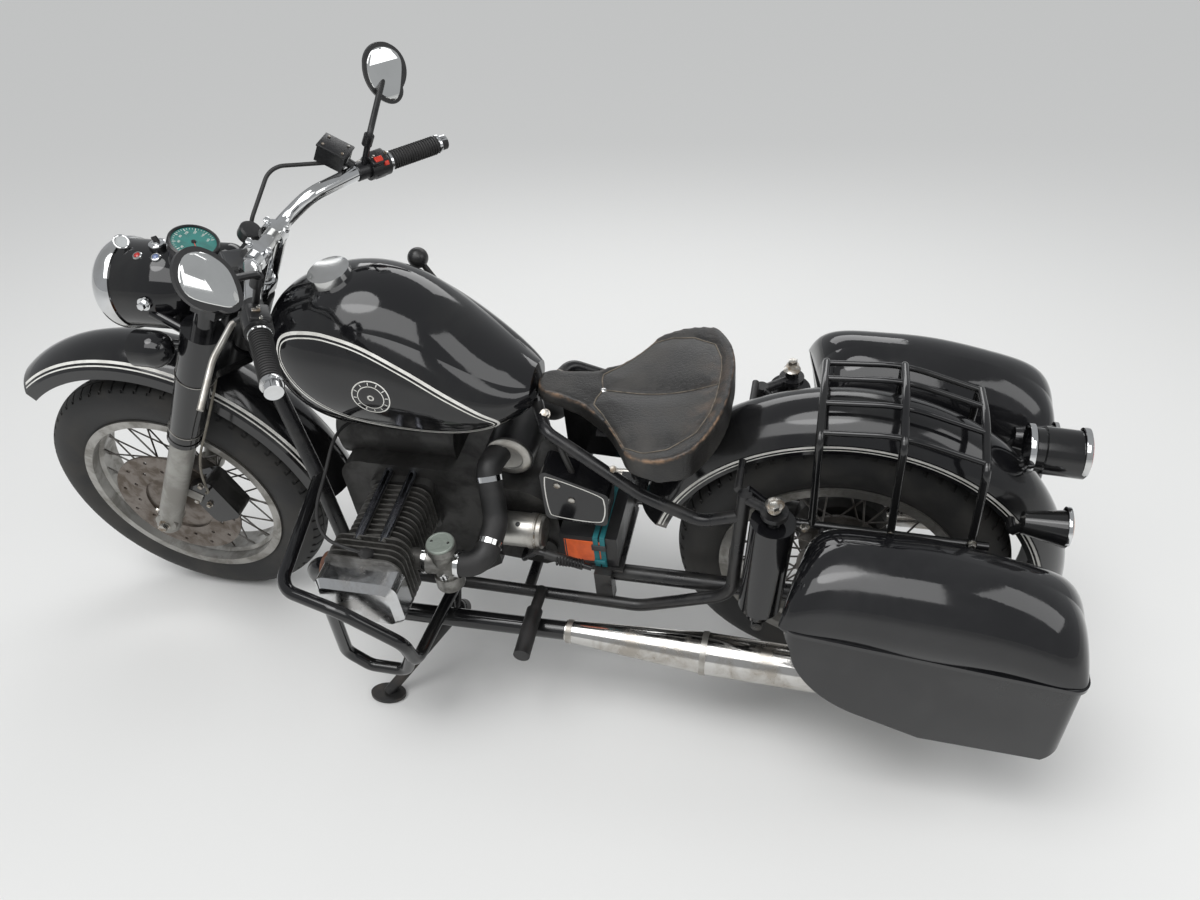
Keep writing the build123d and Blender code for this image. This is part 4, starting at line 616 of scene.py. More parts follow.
front_tree = ray_target(nodes["front_fender"].data)
front_lines = bmesh.new()
for side in (-1, 1):
    for shift, width in line_pair:
        def front_start(along, edge, side=side, shift=shift, width=width):
            y = side * (front_line_y + shift + 0.5 * width * edge)
            return round_wheel(front_centre, outside_fender, y, arc_angle(front_arc, along))

        lay_strip(front_lines, front_tree, front_start, to_front_centre, 120)
make_piece("front_fender_lines", front_lines, "steering", ["line_white"])

# %% Lines round the rear fender
rear_centre = Vector((0.0, 0.0, 335.0))
rear_line_radius = 381.0
rear_arc = (19.0, 172.0)
beside_fender = 160.0
rear_tree = ray_target(nodes["rear_fender"].data)
rear_lines = bmesh.new()
for side in (-1, 1):
    for shift, width in line_pair:
        def rear_start(along, edge, side=side, shift=shift, width=width):
            radius = rear_line_radius - shift - 0.5 * width * edge
            return round_wheel(rear_centre, radius, side * beside_fender, arc_angle(rear_arc, along))

        lay_strip(rear_lines, rear_tree, rear_start, from_side(side), 140)
make_piece("rear_fender_lines", rear_lines, "root", ["line_white"])

# %% [markdown]
# ## Lines that close on themselves
# Each side of the tank has a teardrop panel outlined by the same pair of lines, and a round badge. A
# closed line takes its shape from a few given points in side view, with a smooth curve through
# them. Rays then carry it sideways onto the tank. The badge is bare: plain rings and strokes.

# %% A smooth loop through a few points
def smooth_loop(points, per_span=12):
    """Points along a smooth closed curve through given points in a plane."""
    spots = []
    count = len(points)
    for i in range(count):
        before, here, there, after = (Vector(points[(i + k) % count]).to_3d() for k in (-1, 0, 1, 2))
        span = geometry.interpolate_bezier(here, here + (there - before) / 6.0, there - (after - here) / 6.0,
                                           there, per_span)
        spots += span[:-1]
    return spots


def beside_loop(spots, along, shift):
    """A point beside a closed loop, part of the way round it and shifted to its right."""
    count = len(spots)
    place = (along % 1.0) * count
    low = int(place) % count
    here = spots[low].lerp(spots[(low + 1) % count], place - int(place))
    run = (spots[(low + 2) % count] - spots[low - 1]).normalized()
    return here + Vector((run.y, -run.x, 0.0)) * shift


def side_line(shape, target, spots, side, shift, width):
    """Lay a closed line, drawn in side view as (x, z), on one side of a node."""
    def start_at(along, edge):
        spot = beside_loop(spots, along, shift + 0.5 * width * edge)
        return upright @ Vector((spot.x, side * beside_tank, spot.y))

    return lay_strip(shape, target, start_at, from_side(side), len(spots))


# %% Tank lines and badge
beside_tank = 320.0
tank_panel = ((1060.0, 862.0), (1048.0, 892.0), (1006.0, 911.0), (946.0, 918.0), (875.0, 903.0),
              (797.0, 860.0), (723.0, 802.0), (677.0, 760.0), (652.0, 731.0), (660.0, 713.0),
              (700.0, 708.0), (790.0, 712.0), (880.0, 726.0), (950.0, 750.0), (1010.0, 790.0),
              (1048.0, 832.0))
badge_centre = (866.0, 812.0)
badge_rings = ((36.0, 2.4), (25.0, 1.8), (5.0, 3.0))
ring_steps = 72
stroke_count = 12
stroke_start_radius = 27.5
stroke_length = 6.0
stroke_half = 0.9


def badge_point(radius, angle, across=0.0):
    """A place on the badge in side view: out along an angle, and across that way."""
    return Vector((badge_centre[0] + radius * math.cos(angle) - across * math.sin(angle),
                   badge_centre[1] + radius * math.sin(angle) + across * math.cos(angle), 0.0))


tank_tree = ray_target(nodes["fuel_tank"].data)
tank_lines = bmesh.new()
panel_loop = smooth_loop(tank_panel)
for side in (-1, 1):
    for shift, width in line_pair:
        print("rays that missed:", side_line(tank_lines, tank_tree, panel_loop, side, -shift, width))
    for radius, width in badge_rings:
        ring = [badge_point(radius, FULL_TURN * i / ring_steps) for i in range(ring_steps)]
        side_line(tank_lines, tank_tree, ring, side, 0.0, width)
    for i in range(stroke_count):
        def stroke_start(along, edge, angle=FULL_TURN * i / stroke_count, side=side):
            spot = badge_point(stroke_start_radius + stroke_length * along, angle, stroke_half * edge)
            return upright @ Vector((spot.x, side * beside_tank, spot.y))

        lay_strip(tank_lines, tank_tree, stroke_start, from_side(side), 2)
make_piece("tank_lines", tank_lines, "root", ["line_white"])

# %% Lines on the side boxes
box_corners = ((569.0, 509.0), (569.0, 622.0), (453.0, 576.0), (460.0, 502.0))
box_round = 16.0
box_points = []
for i, corner in enumerate(box_corners):
    here = Vector(corner)
    for other in (box_corners[i - 1], box_corners[(i + 1) % 4]):
        box_points.append(here + (Vector(other) - here).normalized() * box_round)
box_tree = ray_target(nodes["tool_boxes"].data)
box_lines = bmesh.new()
for side in (-1, 1):
    side_line(box_lines, box_tree, smooth_loop(box_points), side, 0.0, 2.4)
for side in (-1, 1):
    for x, z in ((545.0, 598.0), (520.0, 560.0)):
        add_turned(box_lines, ((0.0, 0.0), (7.0, 0.0), (7.0, 2.0), (5.0, 3.2), (0.0, 3.4)),
                   upright @ aimed((x, side * 128.0, z), (0.0, side, 0.0)), 1, 20)
make_piece("side_box_lines", box_lines, "root", ["line_white", "bolt_steel"])

# %% [markdown]
# ## Tyres
# A tyre's tread is the one part of it that nobody reads as rubber unless it has real grooves. The
# tyre starts as its own section, spun about the axle in many steps. Then the faces that lie where a
# groove runs are extruded towards the axle all at once, which gives every groove its walls.

# %% One tyre
tread_pitches = 64
tread_steps = 6
tread_depth = 5.0
tyre_radius = 334.6
crown_half = 33.5
crown_radius = 325.6
side_half = 53.7
side_radius = 285.7
lip_half = 41.7
lip_radius = 244.5
bead_radius = 229.4
middle_groove = 3.0
ring_groove = (9.0, 12.5)
shoulder_groove = 40.0
tread_inner_radius = 300.0


def bowed(start, middle, end, count):
    """Points along a curve from start to end that passes through the middle point."""
    start, middle, end = Vector(start), Vector(middle), Vector(end)
    pull = middle * 2.0 - (start + end) * 0.5
    return [start.lerp(pull, i / count).lerp(pull.lerp(end, i / count), i / count) for i in range(count)]


def tyre_half_section():
    """Half of a tyre's outer section as (distance from the middle, radius), from the crown to the bead."""
    crown = [(y, tyre_radius - (tyre_radius - crown_radius) * (y / crown_half) ** 2)
             for y in (0.0, 3.0, 6.0, 9.0, 12.5, 17.0, 22.0, 27.0)]
    wall = bowed((crown_half, crown_radius), (side_half - 1.0, side_radius), (lip_half, lip_radius), 12)
    rib = [(point.x, point.y) for point in wall]
    return crown + rib + [(lip_half, lip_radius), (lip_half - 0.4, bead_radius)]


def groove_here(y, turn_index):
    """Whether a face at a distance from the middle and a step round the wheel lies in a groove."""
    step = turn_index % tread_steps
    y = abs(y)
    if ring_groove[0] < y < ring_groove[1]:
        return True
    if y < middle_groove:
        return step in (0, 1, 2)
    if ring_groove[1] < y < crown_half:
        return step == 3
    return crown_half < y < shoulder_groove and step in (3, 4)


def make_tyre(name, centre_x, body):
    """A tyre with real grooves, in place of the plain one."""
    half = tyre_half_section()
    section = [(-y, r) for y, r in reversed(half[1:])] + half
    part = bmesh.new()
    corners = [part.verts.new((0.0, y, r)) for y, r in section]
    edges = [part.edges.new(pair) for pair in zip(corners, corners[1:])]
    edges.append(part.edges.new((corners[-1], corners[0])))
    steps = tread_pitches * tread_steps
    bmesh.ops.spin(part, geom=corners + edges, cent=(0.0, 0.0, 0.0), axis=(0.0, 1.0, 0.0),
                   angle=FULL_TURN, steps=steps, use_merge=True)
    bmesh.ops.recalc_face_normals(part, faces=part.faces)
    chosen = []
    for face in part.faces:
        middle_spot = face.calc_center_median()
        turn = math.atan2(middle_spot.x, middle_spot.z) % FULL_TURN
        if math.hypot(middle_spot.x, middle_spot.z) > tread_inner_radius:
            if groove_here(middle_spot.y, int(turn / FULL_TURN * steps)):
                chosen.append(face)
    made = bmesh.ops.extrude_face_region(part, geom=chosen)
    bmesh.ops.delete(part, geom=chosen, context="FACES_ONLY")
    for vert in (item for item in made["geom"] if isinstance(item, bmesh.types.BMVert)):
        radius = math.hypot(vert.co.x, vert.co.z)
        shrink = (radius - tread_depth) / radius
        vert.co.x *= shrink
        vert.co.z *= shrink
    bmesh.ops.translate(part, vec=(centre_x, 0.0, wheel_radius * 1000.0), verts=part.verts)
    return make_piece(name, part, body, ["tyre_rubber"], upright, sharp=38.0)


for name, centre_x, body, replaced in (("front_tread", wheelbase * 1000.0, "front_wheel", "front_tyre"),
                                       ("rear_tread", 0.0, "rear_wheel", "rear_tyre")):
    tyre = make_tyre(name, centre_x, body)
    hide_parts(replaced)

# %% [markdown]
# ## The saddle
# A broad single saddle, once black, now rubbed brown at its edges and grey where the rider sits. The
# plain solid gives its outline and height. A copy of it is remeshed into even small faces and
# smoothed, which rolls the edges over as stretched leather does. Then every vertex near a seam is
# pressed in, the panels between the seams swell a little, and the middle sinks where the rider sits.

# %% Seams, drawn from above
stud = (469.0, 0.0)
seam_lines = [
    [(469.0, 0.0), (420.0, 0.0), (340.0, 0.0), (248.0, 0.0)],
]
for side in (-1, 1):
    seam_lines.append([stud, (477.0, side * 26.0), (478.0, side * 44.0), (456.0, side * 68.0),
                       (424.0, side * 112.0), (398.0, side * 152.0)])
    seam_lines.append([(248.0, 0.0), (249.0, side * 40.0), (254.0, side * 78.0), (272.0, side * 126.0),
                       (318.0, side * 160.0), (362.0, side * 166.0), (398.0, side * 152.0)])


def clamped(value):
    """A value held between 0 and 1."""
    return min(1.0, max(0.0, value))


def seam_gap(x, y):
    """Distance in plan from a point to the nearest seam, in millimetres."""
    spot = Vector((x, y))
    nearest = 1000.0
    for line in seam_lines:
        for start, end in zip(line, line[1:]):
            foot, share = geometry.intersect_point_line(spot, Vector(start), Vector(end))
            foot = Vector(start).lerp(Vector(end), clamped(share))
            nearest = min(nearest, (spot - foot).length)
    return nearest


print("seams:", len(seam_lines))

# %% Remesh the plain saddle and sculpt it
voxel = 0.0045
seam_depth = 0.0030
seam_half = 4.5
swell_reach = 26.0
panel_swell = 0.0042
dish_depth = 0.006
dish_centre = 350.0
dish_length = 90.0
dish_width = 110.0


def relax(shape, factor):
    """Move every vertex part of the way to the middle of its neighbours."""
    bmesh.ops.smooth_vert(shape, verts=shape.verts, factor=factor, use_axis_x=True, use_axis_y=True,
                          use_axis_z=True)


copy = nodes["saddle"].data.copy()
rough = bpy.data.objects.new("saddle_rough", copy)
bpy.context.scene.collection.objects.link(rough)
remesh = rough.modifiers.new("remesh", "REMESH")
remesh.mode = "VOXEL"
remesh.voxel_size = voxel
view_layer = bpy.context.evaluated_depsgraph_get()
leather_mesh = bpy.data.meshes.new_from_object(rough.evaluated_get(view_layer))
bpy.data.objects.remove(rough)
bpy.data.meshes.remove(copy)
leather = bmesh.new()
leather.from_mesh(leather_mesh)
bpy.data.meshes.remove(leather_mesh)
for _ in range(9):
    relax(leather, 0.5)
leather.normal_update()
backward = upright.inverted()
up_way = (upright.to_3x3() @ Vector(UP)).normalized()
edge_wear = leather.verts.layers.float.new("wear")
for vert in leather.verts:
    spot = backward @ vert.co
    facing = vert.normal.dot(up_way)
    gap = seam_gap(spot.x, spot.y)
    on_top = clamped((facing - 0.35) / 0.3)
    press = math.exp(-(gap / seam_half) ** 2)
    swell = 1.0 - math.exp(-(gap / swell_reach) ** 2)
    dish = math.exp(-((spot.x - dish_centre) / dish_length) ** 2 - (spot.y / dish_width) ** 2)
    move = panel_swell * swell - seam_depth * press - dish_depth * dish
    vert.co += up_way * move * on_top
    rolled = clamped((0.96 - facing) / 0.16) * clamped((facing - 0.34) / 0.30)
    left_share = 0.45 + 0.55 * clamped((spot.y + 20.0) / 80.0)
    vert[edge_wear] = rolled * left_share
relax(leather, 0.35)
print("saddle has", len(leather.verts), "vertices")

# %% [markdown]
# ## Leather
# Old leather is many small plates with cracks between them. Two sizes of cell give the grain and the
# cracks, a broad noise gives the grey bloom of use, and the wear attribute that the sculpting left on
# each vertex brings out the brown under the dye along the rolled edges.

# %% Leather material
def new_leather():
    """Black dyed leather, grey where it is sat on and brown at its edges."""
    material = bpy.data.materials.new("saddle_leather")
    material.use_nodes = True
    tree = material.node_tree
    shader = tree.nodes["Principled BSDF"]
    bloom = add_node(tree, "ShaderNodeGroup", (("node_tree", patches),), Scale=7.0, Low=0.42, High=0.72)
    fleck = add_node(tree, "ShaderNodeGroup", (("node_tree", patches),), Scale=34.0, Low=0.40, High=0.66)
    worn = add_node(tree, "ShaderNodeAttribute", (("attribute_name", "wear"),))
    dyed = add_node(tree, "ShaderNodeMix", (("data_type", "RGBA"),))
    dyed.inputs["A"].default_value = (0.011, 0.0105, 0.010, 1.0)
    dyed.inputs["B"].default_value = (0.046, 0.043, 0.039, 1.0)
    tree.links.new(bloom.outputs["Mask"], dyed.inputs["Factor"])
    bare = add_node(tree, "ShaderNodeMix", (("data_type", "RGBA"),))
    bare.inputs["B"].default_value = (0.30, 0.185, 0.110, 1.0)
    tree.links.new(dyed.outputs["Result"], bare.inputs["A"])
    amount = linked_math(tree, "MULTIPLY", worn.outputs["Fac"], fleck.outputs["Mask"])
    tree.links.new(linked_math(tree, "MULTIPLY", amount, 0.85), bare.inputs["Factor"])
    tree.links.new(bare.outputs["Result"], shader.inputs["Base Color"])
    dull = add_node(tree, "ShaderNodeMapRange", To_Min=0.38, To_Max=0.62)
    tree.links.new(bloom.outputs["Mask"], dull.inputs["Value"])
    tree.links.new(dull.outputs["Result"], shader.inputs["Roughness"])
    where = tree.nodes.new("ShaderNodeTexCoord")
    cracks = add_node(tree, "ShaderNodeTexVoronoi", (("feature", "DISTANCE_TO_EDGE"),), Scale=120.0)
    tree.links.new(where.outputs["Object"], cracks.inputs["Vector"])
    plates = add_node(tree, "ShaderNodeMapRange", From_Max=0.12)
    tree.links.new(cracks.outputs["Distance"], plates.inputs["Value"])
    surface = add_node(tree, "ShaderNodeGroup", (("node_tree", grain),), Scale=520.0)
    relief = linked_math(tree, "ADD", plates.outputs["Result"], surface.outputs["Height"])
    bump = add_node(tree, "ShaderNodeBump", Strength=0.30, Distance=0.0008)
    tree.links.new(relief, bump.inputs["Height"])
    tree.links.new(bump.outputs["Normal"], shader.inputs["Normal"])
    return material


finishes["saddle_leather"] = new_leather()
saddle = make_piece("saddle_leather", leather, "root", ["saddle_leather"], sharp=180.0)
smoother = saddle.modifiers.new("smooth", "SUBSURF")
smoother.levels = 1
smoother.render_levels = 1
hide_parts("saddle")

# %% Saddle stud
above_saddle = 900.0
saddle_tree = ray_target(saddle.data)


def on_saddle(x, y):
    """The place on the leather straight below a place in plan, on the upright machine."""
    return backward @ saddle_tree.ray_cast(upright @ Vector((x, y, above_saddle)), -up_way)[0]


stud_shape = bmesh.new()
add_turned(stud_shape, ((0.0, -1.5), (6.5, -1.5), (6.5, 0.6), (4.2, 2.8), (0.0, 3.6)),
           aimed(on_saddle(*stud), UP), 0, 24)
make_piece("saddle_stud", stud_shape, "root", ["bright_chrome"], upright)

# %% [markdown]
# ## Seams of the saddle
# The panels are sewn to each other with a raised edge. A thin round piping, laid along each seam on the
# finished leather, catches the light the way the stitched edge does on the real seat.

# %% Piping along the seams
piping = bmesh.new()
piping_radius = 1.3
piping_lift = Vector((0.0, 0.0, 0.3))
piping_steps = 4
for line in seam_lines:
    spots = [on_saddle(x, y) for x, y in line]
    laid = []
    for start, end in zip(spots, spots[1:]):
        for i in range(piping_steps):
            along = start.lerp(end, i / piping_steps)
            laid.append(on_saddle(along.x, along.y) + piping_lift)
    laid.append(spots[-1] + piping_lift)
    add_wire(piping, laid, piping_radius)
make_piece("saddle_piping", piping, "root", ["seam_thread"], upright)

# %% [markdown]
# ## Mirrors
# The two mirrors are teardrops with a black rim. The glass is the same teardrop a little smaller, as a
# thin plate that stands just off the rim's face and is turned with it.

# %% Mirror glass
mirror_place = (-37.0, 352.0, 1033.0)
mirror_teardrop = ((24.0, -50.0), (44.0, -6.0), (32.0, 38.0), (0.0, 58.0), (-34.0, 42.0), (-46.0, 8.0),
                   (-16.0, -38.0), (4.0, -56.0))
mirror_aims = ((-1, (-0.54, 0.60, 0.58)), (1, (-0.54, 0.22, 0.78)))
glass_share = 0.86
mirror_shape = bmesh.new()
for side, aim in mirror_aims:
    normal = Vector(aim).normalized()
    across = Vector((0.0, -1.0, 0.0))
    across = (across - normal * across.dot(normal)).normalized()
    upward = normal.cross(across)
    centre = Vector((mirror_place[0], side * mirror_place[1], mirror_place[2]))
    seat = placed(centre, across, upward, normal)
    part = bmesh.new()
    rim = [part.verts.new((side * spot.x * glass_share, spot.y * glass_share, 0.2))
           for spot in smooth_loop(mirror_teardrop, 6)]
    face = part.faces.new(rim)
    top = bmesh.ops.extrude_face_region(part, geom=[face])
    raised = [item for item in top["geom"] if isinstance(item, bmesh.types.BMVert)]
    bmesh.ops.translate(part, vec=(0.0, 0.0, 1.0), verts=raised)
    bmesh.ops.scale(part, vec=(0.97, 0.97, 1.0), verts=raised)
    add_part(mirror_shape, part, seat)
make_piece("mirror_glass", mirror_shape, "steering", ["mirror_glass"], steered)

# %% [markdown]
# ## The lamp and its instruments
# The lamp's shell carries the speedometer, a key switch with a chrome collar, two pilot lamps with
# chrome bezels, and a small chrome ring at its front edge. The dial is a disc with strokes set round it
# by a loop and a plain number inside each long stroke, in a thin black bezel.

# %% Dial
meter_top = Vector((1233.0, 0.0, 1020.0))
meter_tilt = math.radians(24.8)
meter_way = Vector((-math.sin(meter_tilt), 0.0, math.cos(meter_tilt)))
meter_radius = 43.0
dial_radius = meter_radius - 2.0
bezel_inner = meter_radius - 2.5
bezel_outer = meter_radius + 3.6
number_radius = meter_radius - 17.0
face_height = 5.2
mark_height = 0.7
rightward = Vector((0.0, -1.0, 0.0))
dial_seat = placed(meter_top + meter_way * face_height, rightward, meter_way.cross(rightward), meter_way)
dial = bmesh.new()
add_turned(dial, ((0.0, 0.0), (dial_radius, 0.0), (dial_radius, 0.5), (0.0, 0.5)), dial_seat, 0, 48)
add_turned(dial, ((bezel_inner, 0.0), (bezel_outer, 0.0), (bezel_outer, 2.4), (meter_radius + 1.0, 4.0),
                  (bezel_inner, 3.0), (bezel_inner, 0.0)), dial_seat, 1, 48)
first_mark = math.radians(225.0)
mark_count = 32
marks_per_number = 4
mark_step = math.radians(270.0) / mark_count
for i in range(mark_count + 1):
    angle = first_mark - mark_step * i
    long_mark = i % marks_per_number == 0
    length = 6.5 if long_mark else 3.5
    middle_radius = meter_radius - 5.0 - 0.5 * length
    spot = (middle_radius * math.cos(angle), middle_radius * math.sin(angle), mark_height)
    mark = Matrix.Translation(spot) @ Matrix.Rotation(angle, 4, "Z")
    add_block(dial, (length, 1.3 if long_mark else 0.8, 0.3), dial_seat @ mark, 2, 0.05)
add_turned(dial, ((0.0, 0.5), (4.5, 0.5), (4.5, 2.2), (0.0, 2.6)), dial_seat, 1, 20)
needle_angle = first_mark - math.radians(4.0)
needle = Matrix.Rotation(needle_angle, 4, "Z") @ Matrix.Translation((13.0, 0.0, 1.6))
add_block(dial, (30.0, 1.2, 0.4), dial_seat @ needle, 3, 0.1)
for i in range(mark_count // marks_per_number + 1):
    angle = first_mark - marks_per_number * mark_step * i
    number = bpy.data.curves.new("number", "FONT")
    number.body = str(20 * i)
    number.size = 6.5
    number.align_x = "CENTER"
    number.align_y = "CENTER"
    number.extrude = 0.1
    spot = (number_radius * math.cos(angle), number_radius * math.sin(angle), mark_height)
    add_part(dial, curve_part(number), dial_seat @ Matrix.Translation(spot), 2)
make_piece("speedometer_dial", dial, "steering",
           ["dial_teal", "black_plastic", "line_white", "switch_red"], upright)

# %% Key switch, pilot lamps, chrome ring and screws on the lamp
lamp = bmesh.new()
knob_top = Vector((1312.0, 0.0, 1016.0))
add_turned(lamp, ((0.0, 0.0), (16.0, 0.0), (16.0, 3.0), (13.0, 5.0), (9.0, 5.0), (8.0, 8.0), (0.0, 9.0)),
           aimed(knob_top, UP), 0, 32)
add_block(lamp, (4.0, 13.0, 12.0), aimed(knob_top + Vector((-2.0, 2.0, 12.0)), (0.3, 0.0, 1.0)), 2, 1.2)
pilot_table = (
    # place, way it faces, slot of its glass
    ((1344.0, 26.0, 1004.6), (0.0, 0.27, 0.96), 3),
    ((1304.0, 27.0, 1004.0), (-0.15, 0.28, 0.95), 4),
)
for place, way, glass in pilot_table:
    seat = aimed(place, way)
    add_turned(lamp, ((0.0, -2.0), (9.5, -2.0), (9.5, 1.5), (8.2, 3.2), (6.4, 3.4), (6.2, 1.6), (0.0, 1.6)),
               seat, 0, 28)
    add_turned(lamp, ((0.0, 1.2), (6.1, 1.2), (5.2, 3.4), (2.8, 4.6), (0.0, 5.0)), seat, glass, 24)
ring_seat = aimed((1384.0, 6.0, 1021.0), (-0.62, 0.30, 0.72))
add_ring(lamp, 13.0, 2.2, ring_seat, 0, 36, 8)
add_turned(lamp, ((0.0, -1.2), (12.6, -1.2), (12.6, 0.4), (0.0, 0.8)), ring_seat, 1, 36)
add_turned(lamp, ((0.0, -14.0), (4.0, -14.0), (4.0, -1.0), (0.0, -1.0)), ring_seat, 0, 16)
for side in (-1, 1):
    outward = (0.0, side, 0.12)
    add_bolt(lamp, (1321.0, side * 92.0, 941.0), outward, 8.0, 0)
    add_turned(lamp, ((0.0, -6.0), (13.0, -6.0), (13.0, 0.0), (0.0, 0.5)),
               aimed((1321.0, side * 91.0, 941.0), outward), 0, 24)
rim_x = 1398.0
rim_z = 923.0
rim_radius = 84.0
for angle in (0.25, 2.35, 4.45):
    spot = (rim_x, rim_radius * math.cos(angle), rim_z + rim_radius * math.sin(angle))
    add_screw(lamp, 3.0, 3.0, aimed(spot, (0.0, math.cos(angle), math.sin(angle))), 0)
make_piece("lamp_fittings", lamp, "steering",
           ["bright_chrome", "clear_lens", "black_plastic", "red_lens", "pilot_blue"], upright)

# %% Glass of the front indicators
bullet_glass = bmesh.new()
for side in (-1, 1):
    add_turned(bullet_glass, ((0.0, 0.0), (31.0, 0.0), (31.0, 2.0), (28.0, 6.0), (16.0, 9.0), (0.0, 10.0)),
               aimed((1323.0, side * 150.0, 884.0), FORWARD), 0, 36)
    add_ring(bullet_glass, 32.0, 1.6, aimed((1324.0, side * 150.0, 884.0), FORWARD), 1, 36, 8)
make_piece("indicator_glass", bullet_glass, "steering", ["amber_lens", "bright_chrome"], upright)

# %% [markdown]
# ## The handlebar
# Each grip is ribbed rubber between a chrome collar and a chrome end cap. On the right are a red
# switch, and a fluid box with a round window and a lid held by four screws.

# %% Grips
bar = bmesh.new()
bar_bend = Vector((-64.0, 222.0, 888.0))
left_end = Vector((-177.0, 398.0, 924.0))
left_run = (left_end - bar_bend).normalized()
right_end = Vector((left_end.x, -left_end.y, left_end.z))
right_run = Vector((left_run.x, -left_run.y, left_run.z))
grip_length = 144.0
rib_count = 19
rib_gap = 5.9
for run, tip in ((right_run, right_end), (left_run, left_end)):
    start = tip - run * grip_length
    for i in range(rib_count):
        add_ring(bar, 17.2, 1.9, aimed(start + run * (9.0 + rib_gap * i), run), 1, 24, 6)
    add_turned(bar, ((14.0, 0.0), (19.5, 0.0), (20.0, 2.0), (20.0, 8.0), (18.5, 10.0), (14.0, 10.0),
                     (14.0, 0.0)), aimed(start - run * 1.0, run), 0, 32)
    add_turned(bar, ((14.0, 0.0), (18.6, 0.0), (19.2, 1.5), (19.2, 6.0), (17.0, 8.0), (14.0, 8.0),
                     (14.0, 0.0)), aimed(tip - run * 23.0, run), 0, 32)
print(rib_count, "ribs on each grip")

# %% Controls
housing_reach = 168.0
right_place = right_end - right_run * housing_reach
left_place = left_end - left_run * housing_reach


def on_bar(run, spot, lift, turn):
    """A seat out from the bar along a direction turned round it, with the z axis outwards."""
    out = (Vector(UP) - run * run.z).normalized()
    out = Matrix.Rotation(turn, 3, run) @ out
    return placed(spot + out * lift, run, -out.cross(run).normalized(), out)


for run, spot in ((right_run, right_place), (left_run, left_place)):
    add_block(bar, (40.0, 36.0, 12.0), on_bar(run, spot, 20.0, 0.0), 2, 4.0)
    add_block(bar, (26.0, 18.0, 8.0), on_bar(run, spot, 20.0, 1.9), 2, 2.5)
    for reach in (-14.0, 14.0):
        add_bolt(bar, spot + run * reach + Vector((0.0, 0.0, 25.4)), UP, 2.6, 3)
add_block(bar, (17.0, 11.0, 6.0), on_bar(right_run, right_place - right_run * 4.0, 28.0, 0.35), 4, 1.5)
add_block(bar, (9.0, 9.0, 8.0), on_bar(right_run, right_place + right_run * 10.0, 26.0, 0.75), 4, 1.5)
add_block(bar, (8.0, 14.0, 5.0), on_bar(left_run, left_place, 27.5, 0.2), 3, 1.5)
fluid_centre = Vector((-14.0, -214.0, 908.0))
window_seat = aimed(fluid_centre + Vector((-28.0, 0.0, 2.0)), BACK)
add_turned(bar, ((0.0, 0.0), (11.0, 0.0), (11.0, 1.6), (8.8, 2.0), (8.4, 1.0), (0.0, 1.0)),
           window_seat, 2, 28)
add_turned(bar, ((0.0, 1.0), (8.0, 1.0), (6.0, 1.8), (0.0, 2.2)), window_seat, 5, 24)
add_block(bar, (60.0, 48.0, 5.0), Matrix.Translation(fluid_centre + Vector((0.0, 0.0, 18.0))), 2, 1.5)
for x in (-20.0, 20.0):
    for y in (-15.0, 15.0):
        add_screw(bar, 3.0, 1.4, Matrix.Translation(fluid_centre + Vector((x, y, 20.4))), 3)
make_piece("bar_fittings", bar, "steering",
           ["bright_chrome", "black_rubber", "black_plastic", "bolt_steel", "switch_red", "clear_lens"],
           steered)

# %% Stem nut, clamp bolts, and the box and the can beside them
yoke = bmesh.new()
leg_x = 52.0
leg_y = 107.0
add_turned(yoke, ((0.0, 0.0), (23.0, 0.0), (23.0, 2.5), (19.5, 3.5), (19.5, 8.0), (17.5, 10.0), (0.0, 10.5)),
           aimed((0.0, 0.0, 739.0), UP), 0, 36)
add_turned(yoke, ((0.0, 0.0), (9.0, 0.0), (8.0, 3.0), (0.0, 3.6)), aimed((0.0, 0.0, 749.0), UP), 3, 24)
for side in (-1, 1):
    for x in (-12.0, 26.0):
        add_bolt(yoke, (x, side * 36.0, 838.0), UP, 5.0, 0)
    add_turned(yoke, ((0.0, 0.0), (21.0, 0.0), (21.0, 5.0), (17.0, 8.0), (9.0, 8.5), (8.0, 6.5), (0.0, 6.5)),
               aimed((leg_x, side * leg_y, 726.0), UP), 0, 32)
box_way = (-0.25, 0.2, 0.95)
add_block(yoke, (46.0, 40.0, 22.0), aimed((38.0, 56.0, 796.0), box_way), 1, 3.0)
add_block(yoke, (38.0, 32.0, 3.0), aimed((35.4, 58.2, 806.4), box_way), 1, 1.2)
add_turned(yoke, ((0.0, 0.0), (20.0, 0.0), (21.0, 3.0), (21.0, 20.0), (18.0, 24.0), (0.0, 25.0)),
           aimed((52.0, -30.0, 786.0), (-0.2, 0.0, 1.0)), 2, 32)
make_piece("yoke_fittings", yoke, "steering",
           ["bright_chrome", "box_plastic", "black_plastic", "dark_chrome"], steered)

# %% [markdown]
# ## Brake hose and clips
# A pale hose runs down beside the left fork leg to the caliper, and two thin wire rings hold it there.

